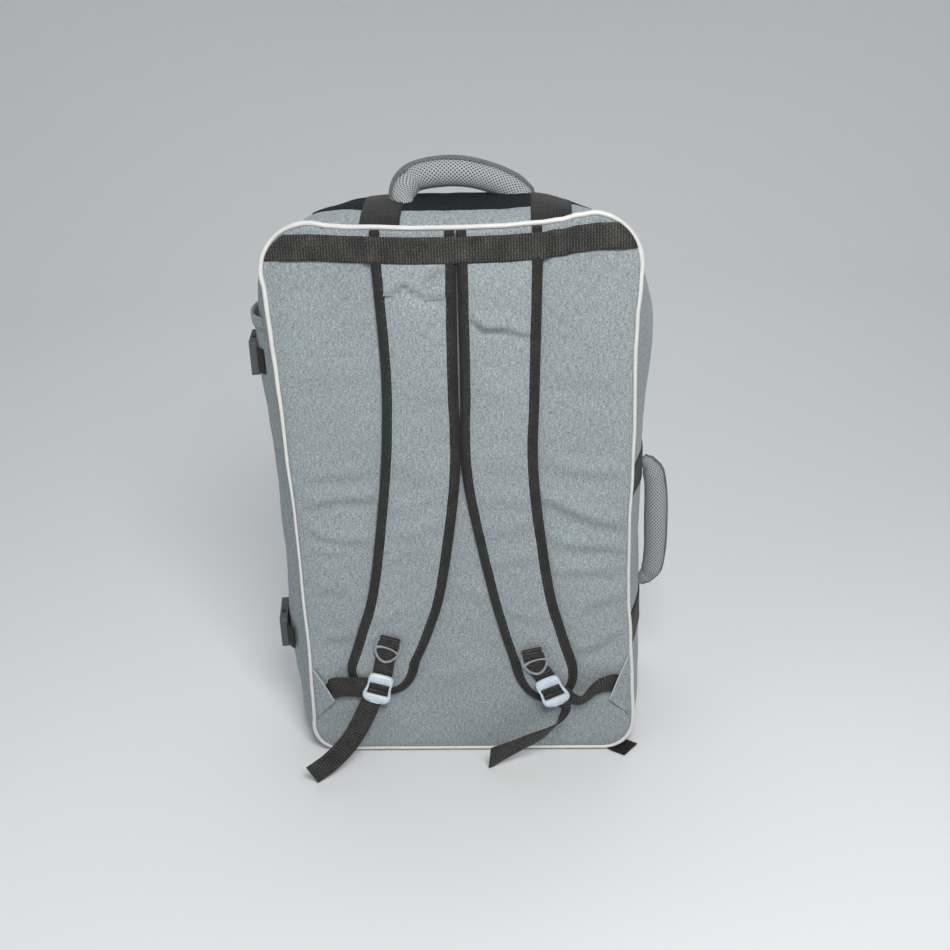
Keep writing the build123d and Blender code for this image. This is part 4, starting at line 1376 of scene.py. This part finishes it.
def front_pockets():
    for label, (low, high, deep) in POCKETS.items():
        middle = high - 20        # height of the pocket's zipper

        def face(x, z):
            gap = rounded_gap(x, z, POCKET_HALF, POCKET_HALF, low, high, POCKET_CORNER, POCKET_CORNER)
            wall = min(max(gap, 0.0) / 9.0, 1.0)
            body = (deep - 3.5) * math.sqrt(max(0.0, 1 - (1 - wall) ** 2))
            crown = 3.5 * (1 - math.exp(-max(gap - 5, 0) / 40))
            seam = 0.9 * math.exp(-((gap - 11) / 2.0) ** 2)
            waves = (0.9 * fuzz(x, 60, z, 48) + 0.5 * fuzz(x, 71, z * 1.4, 22)) * ease(gap / 24)
            groove = 1.6 * math.exp(-((z - middle) / 7.5) ** 2) * ease((124 - abs(x)) / 8)
            return FRONT_Y + 0.4 + body + crown - seam + waves - groove

        def on_zip(u, v):
            return Vector((u, face(u, v) + 0.5, v))

        pocket = face_panel(f"{label}_pocket_fabric", POCKET_HALF, low, high, POCKET_CORNER, POCKET_CORNER,
                            face, 90, 84, MELANGE, 2.4)
        attach(pocket, "front_flap", f"{label}_front_pocket")
        tape = patch(f"{label}_zip_tape", on_zip, list(np.linspace(-118, 118, 60)),
                     list(np.linspace(middle - 8, middle + 8, 9)), ZIP_TAPE, 0.7, True, turned=True)
        attach(tape, "front_flap", f"{label}_pocket_zipper")
        places = []
        for k in range(150):
            x = -116 + 232 * k / 149
            for half in (-1, 1):
                z = middle + half * 0.9
                centre = Vector((x + half * 0.35, face(x, z) + 1.5, z))
                places.append((centre, Vector((1, 0, 0)), Vector((0, 1, 0))))
        attach(teeth_mesh(f"{label}_zip_teeth", places, (0.9, 2.2, 1.1), DARK), "front_flap")


def main_zipper():
    """Both halves of the main zipper, with their teeth, left out along the hinge."""
    pitch = 2.1
    halves = (("rear", "bag", 1.0, 47.0, 60.2, 59.9, 0.0),
              ("front", "front_flap", 2.0, 60.8, 74.0, 61.1, pitch / 2))
    for label, body, low, y0, y1, tooth_y, carry in halves:
        ring = outline(FLAP_HALF, FLAP_HALF, low, FRONT_HEIGHT - 0.5, 100, R_BOTTOM)
        kept = [(Vector((x, 0, z)), Vector((nx, 0, nz)), nx < -0.99 and 31 < z < 454)
                for x, z, nx, nz in ring]
        start = next(i for i, item in enumerate(kept) if item[2])
        kept = [(p, n) for p, n, on_hinge in kept[start:] + kept[:start] if not on_hinge]
        depths = np.linspace(y0, y1, 7)
        rows, cloth, places = [], [], []
        for (p, n), length in zip(kept, running_lengths([p for p, n in kept])):
            insets = [(y, 0.4 + max(0.0, y - 64.0) * 0.45) for y in depths]
            rows.append([Vector((p.x - n.x * inset, y, max(p.z - n.z * inset, low))) for y, inset in insets])
            cloth.append([(y, length) for y in depths])
        tape = grid_object(f"main_zip_{label}_tape", rows, cloth, ZIP_TAPE)
        thicken(tape, 1.4, -1.0)
        for (p, n), (q, m) in zip(kept, kept[1:]):
            size = (q - p).length
            run = (q - p).normalized() if size > 0 else Vector((1, 0, 0))
            while carry < size:
                at = p.lerp(q, carry / size)
                out = n.lerp(m, carry / size).normalized()
                if at.z > 6:
                    places.append((Vector((at.x, tooth_y, at.z)) + out * 0.1, run, out))
                carry += pitch
            carry -= size
        teeth = teeth_mesh(f"main_zip_{label}_teeth", places, (1.1, 1.6, 1.6), DARK)
        attach(tape, body, f"main_zipper_{label}_tape")
        attach(teeth, body)


def hinge_strip():
    """Fabric that joins the gusset to the front shell on the left side."""
    def place(u, v):
        bow = 1.1 * math.sin(math.pi * (v - 55) / 11)
        return Vector((-176.6 - bow - 0.2 * fuzz(u, v, 0, 20), v, u))

    us = list(np.linspace(32, 448, 110))
    vs = list(np.linspace(54.0, 67.0, 12))
    strip = patch("hinge_cloth", place, us, vs, MELANGE, 0.9)
    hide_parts("hinge_strip")
    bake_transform(strip)


# ------------------------------------------------------------------ compression straps
def compression_straps():
    """Webbing behind and in front of the buckles on the left side."""
    runs = {"rear": (14, [(-187.6, -68), (-190.5, -65.5), (-193.6, -61.4), (-197.4, -54)]),
            "front": (50, [(-203.1, -4.5), (-203.0, 4), (-201.2, 19), (-196, 34), (-188, 51), (-181, 57.5)])}
    for label, z in (("upper", 424.0), ("lower", 121.0)):
        for end, (count, places) in runs.items():
            path = catmull([(x, y, z) for x, y in places], count)
            web = ribbon(f"{label}_{end}_web", path, (0, 0, 1), 25, WEB_THICK, BLACK_WEBBING)
            attach(web, "bag", f"{label}_strap_{end}_webbing")


# ------------------------------------------------------------------ CAD parts that stay in sight
def finish_hardware():
    """Give the CAD parts that stay in sight their materials, and soften their edges."""
    finishes = {"hardware_dark": DARK, "slider_metal": METAL, "board": BOARD, "zipper": DARK}
    slots = {node: entry["slot"] for entry in frame["record"]["materials"] for node in entry.get("nodes", [])}
    for name, obj in frame["nodes"].items():
        if obj.hide_render:
            continue
        material = finishes.get(slots.get(name))
        if material is not None:
            for place in obj.material_slots:
                place.material = material
        edge = obj.modifiers.new("soft edges", "BEVEL")
        edge.width = 0.0005
        edge.segments = 2
        edge.limit_method = "ANGLE"
        edge.angle_limit = math.radians(50)


# ------------------------------------------------------------------ camera, lights and floor
def camera():
    """The photograph's camera: behind the bag, a little to its right and above, turned slightly."""
    azimuth, elevation, roll = math.radians(3.10), math.radians(21.94), math.radians(-2.19)
    distance = 1.0973
    target = Vector((0.012, BACK_Y * MM, 0.3181))
    back = Vector((math.sin(azimuth) * math.cos(elevation), -math.cos(azimuth) * math.cos(elevation),
                   math.sin(elevation)))
    right = (-back).cross(Vector((0, 0, 1))).normalized()
    up = right.cross(-back)
    turned = right * math.cos(roll) + up * math.sin(roll)
    upright = up * math.cos(roll) - right * math.sin(roll)
    data = bpy.data.cameras.new("camera")
    sensor, focal, picture = 36.0, 1150, 950        # millimetres, then pixels of the photograph
    data.sensor_width = sensor
    data.lens = sensor * focal / picture
    data.clip_start = 0.05
    cam = bpy.data.objects.new("camera", data)
    matrix = Matrix((turned, upright, back)).transposed().to_4x4()
    matrix.translation = target + back * distance
    cam.matrix_world = matrix
    bpy.context.scene.collection.objects.link(cam)
    bpy.context.scene.camera = cam


def area_light(name, place, aim, size, power, colour=(1, 1, 1)):
    data = bpy.data.lights.new(name, "AREA")
    data.shape = "SQUARE"
    data.size = size
    data.energy = power
    data.color = colour
    lamp = bpy.data.objects.new(name, data)
    lamp.visible_camera = False
    lamp.location = place
    lamp.rotation_euler = (Vector(aim) - Vector(place)).to_track_quat("-Z", "Y").to_euler()
    bpy.context.scene.collection.objects.link(lamp)


def stage_bowl():
    """Pale floor that curves up into a wall all round, so that no horizon shows."""
    flat, curve, steps, sides = 2.2, 1.6, 24, 96
    profile = [(0.0, 0.0), (1.0, 0.0), (2.0, 0.0)]
    for i in range(1, steps + 1):
        a = math.pi / 2 * i / steps
        profile.append((flat + curve * math.sin(a), curve * (1 - math.cos(a))))
    profile.append((3.8, 3.4))
    verts = [(0.0, 0.0, 0.0)]
    turns = [2 * math.pi * k / sides for k in range(sides)]
    for radius, high in profile[1:]:
        verts += [(radius * math.cos(a), radius * math.sin(a), high) for a in turns]
    faces = [(0, 1 + k, 1 + (k + 1) % sides) for k in range(sides)]
    for row in range(len(profile) - 2):
        a, b = 1 + row * sides, 1 + (row + 1) * sides
        faces += [(a + k, b + k, b + (k + 1) % sides, a + (k + 1) % sides) for k in range(sides)]
    mesh = bpy.data.meshes.new("floor")
    mesh.from_pydata(verts, [], faces)
    mesh.polygons.foreach_set("use_smooth", [True] * len(mesh.polygons))
    return bpy.data.objects.new("floor", mesh)


def studio():
    floor = stage_bowl()
    bpy.context.scene.collection.objects.link(floor)
    material, tree, main = shader("pale_floor", 0.9, 0.1)
    feed(tree, main.inputs["Base Color"], (0.76, 0.77, 0.78))
    floor.data.materials.append(material)
    world = bpy.data.worlds.new("studio")
    bpy.context.scene.world = world
    world.use_nodes = True
    world.node_tree.nodes["Background"].inputs[0].default_value = (0.86, 0.92, 0.97, 1)
    world.node_tree.nodes["Background"].inputs[1].default_value = 0.36
    area_light("key", (0.28, -1.12, 1.22), (0.0, -0.1, 0.42), 0.5, 17.6, (1.0, 0.972, 0.94))
    area_light("fill", (-1.9, -1.7, 0.8), (0, 0, 0.3), 1.6, 9, (0.92, 0.97, 1.0))
    area_light("front", (0.0, 1.9, 2.5), (0, 0.4, 0.0), 2.6, 26)
    bpy.context.scene.view_settings.view_transform = "Standard"


# ------------------------------------------------------------------ making
camera()
studio()
main_gusset()
back_panel()
pipings()
back_band()
strap_roots()
for strap_side in ("left", "right"):
    strap_pad(strap_side)
handle_anchors()
painted_top_shade()
slip_pocket()
handles()
ring_webbing()
d_rings()
ladder_locks()
adjusters()
tails()
wings()
corner_tab()
front_shell()
front_pockets()
main_zipper()
hinge_strip()
compression_straps()
finish_hardware()
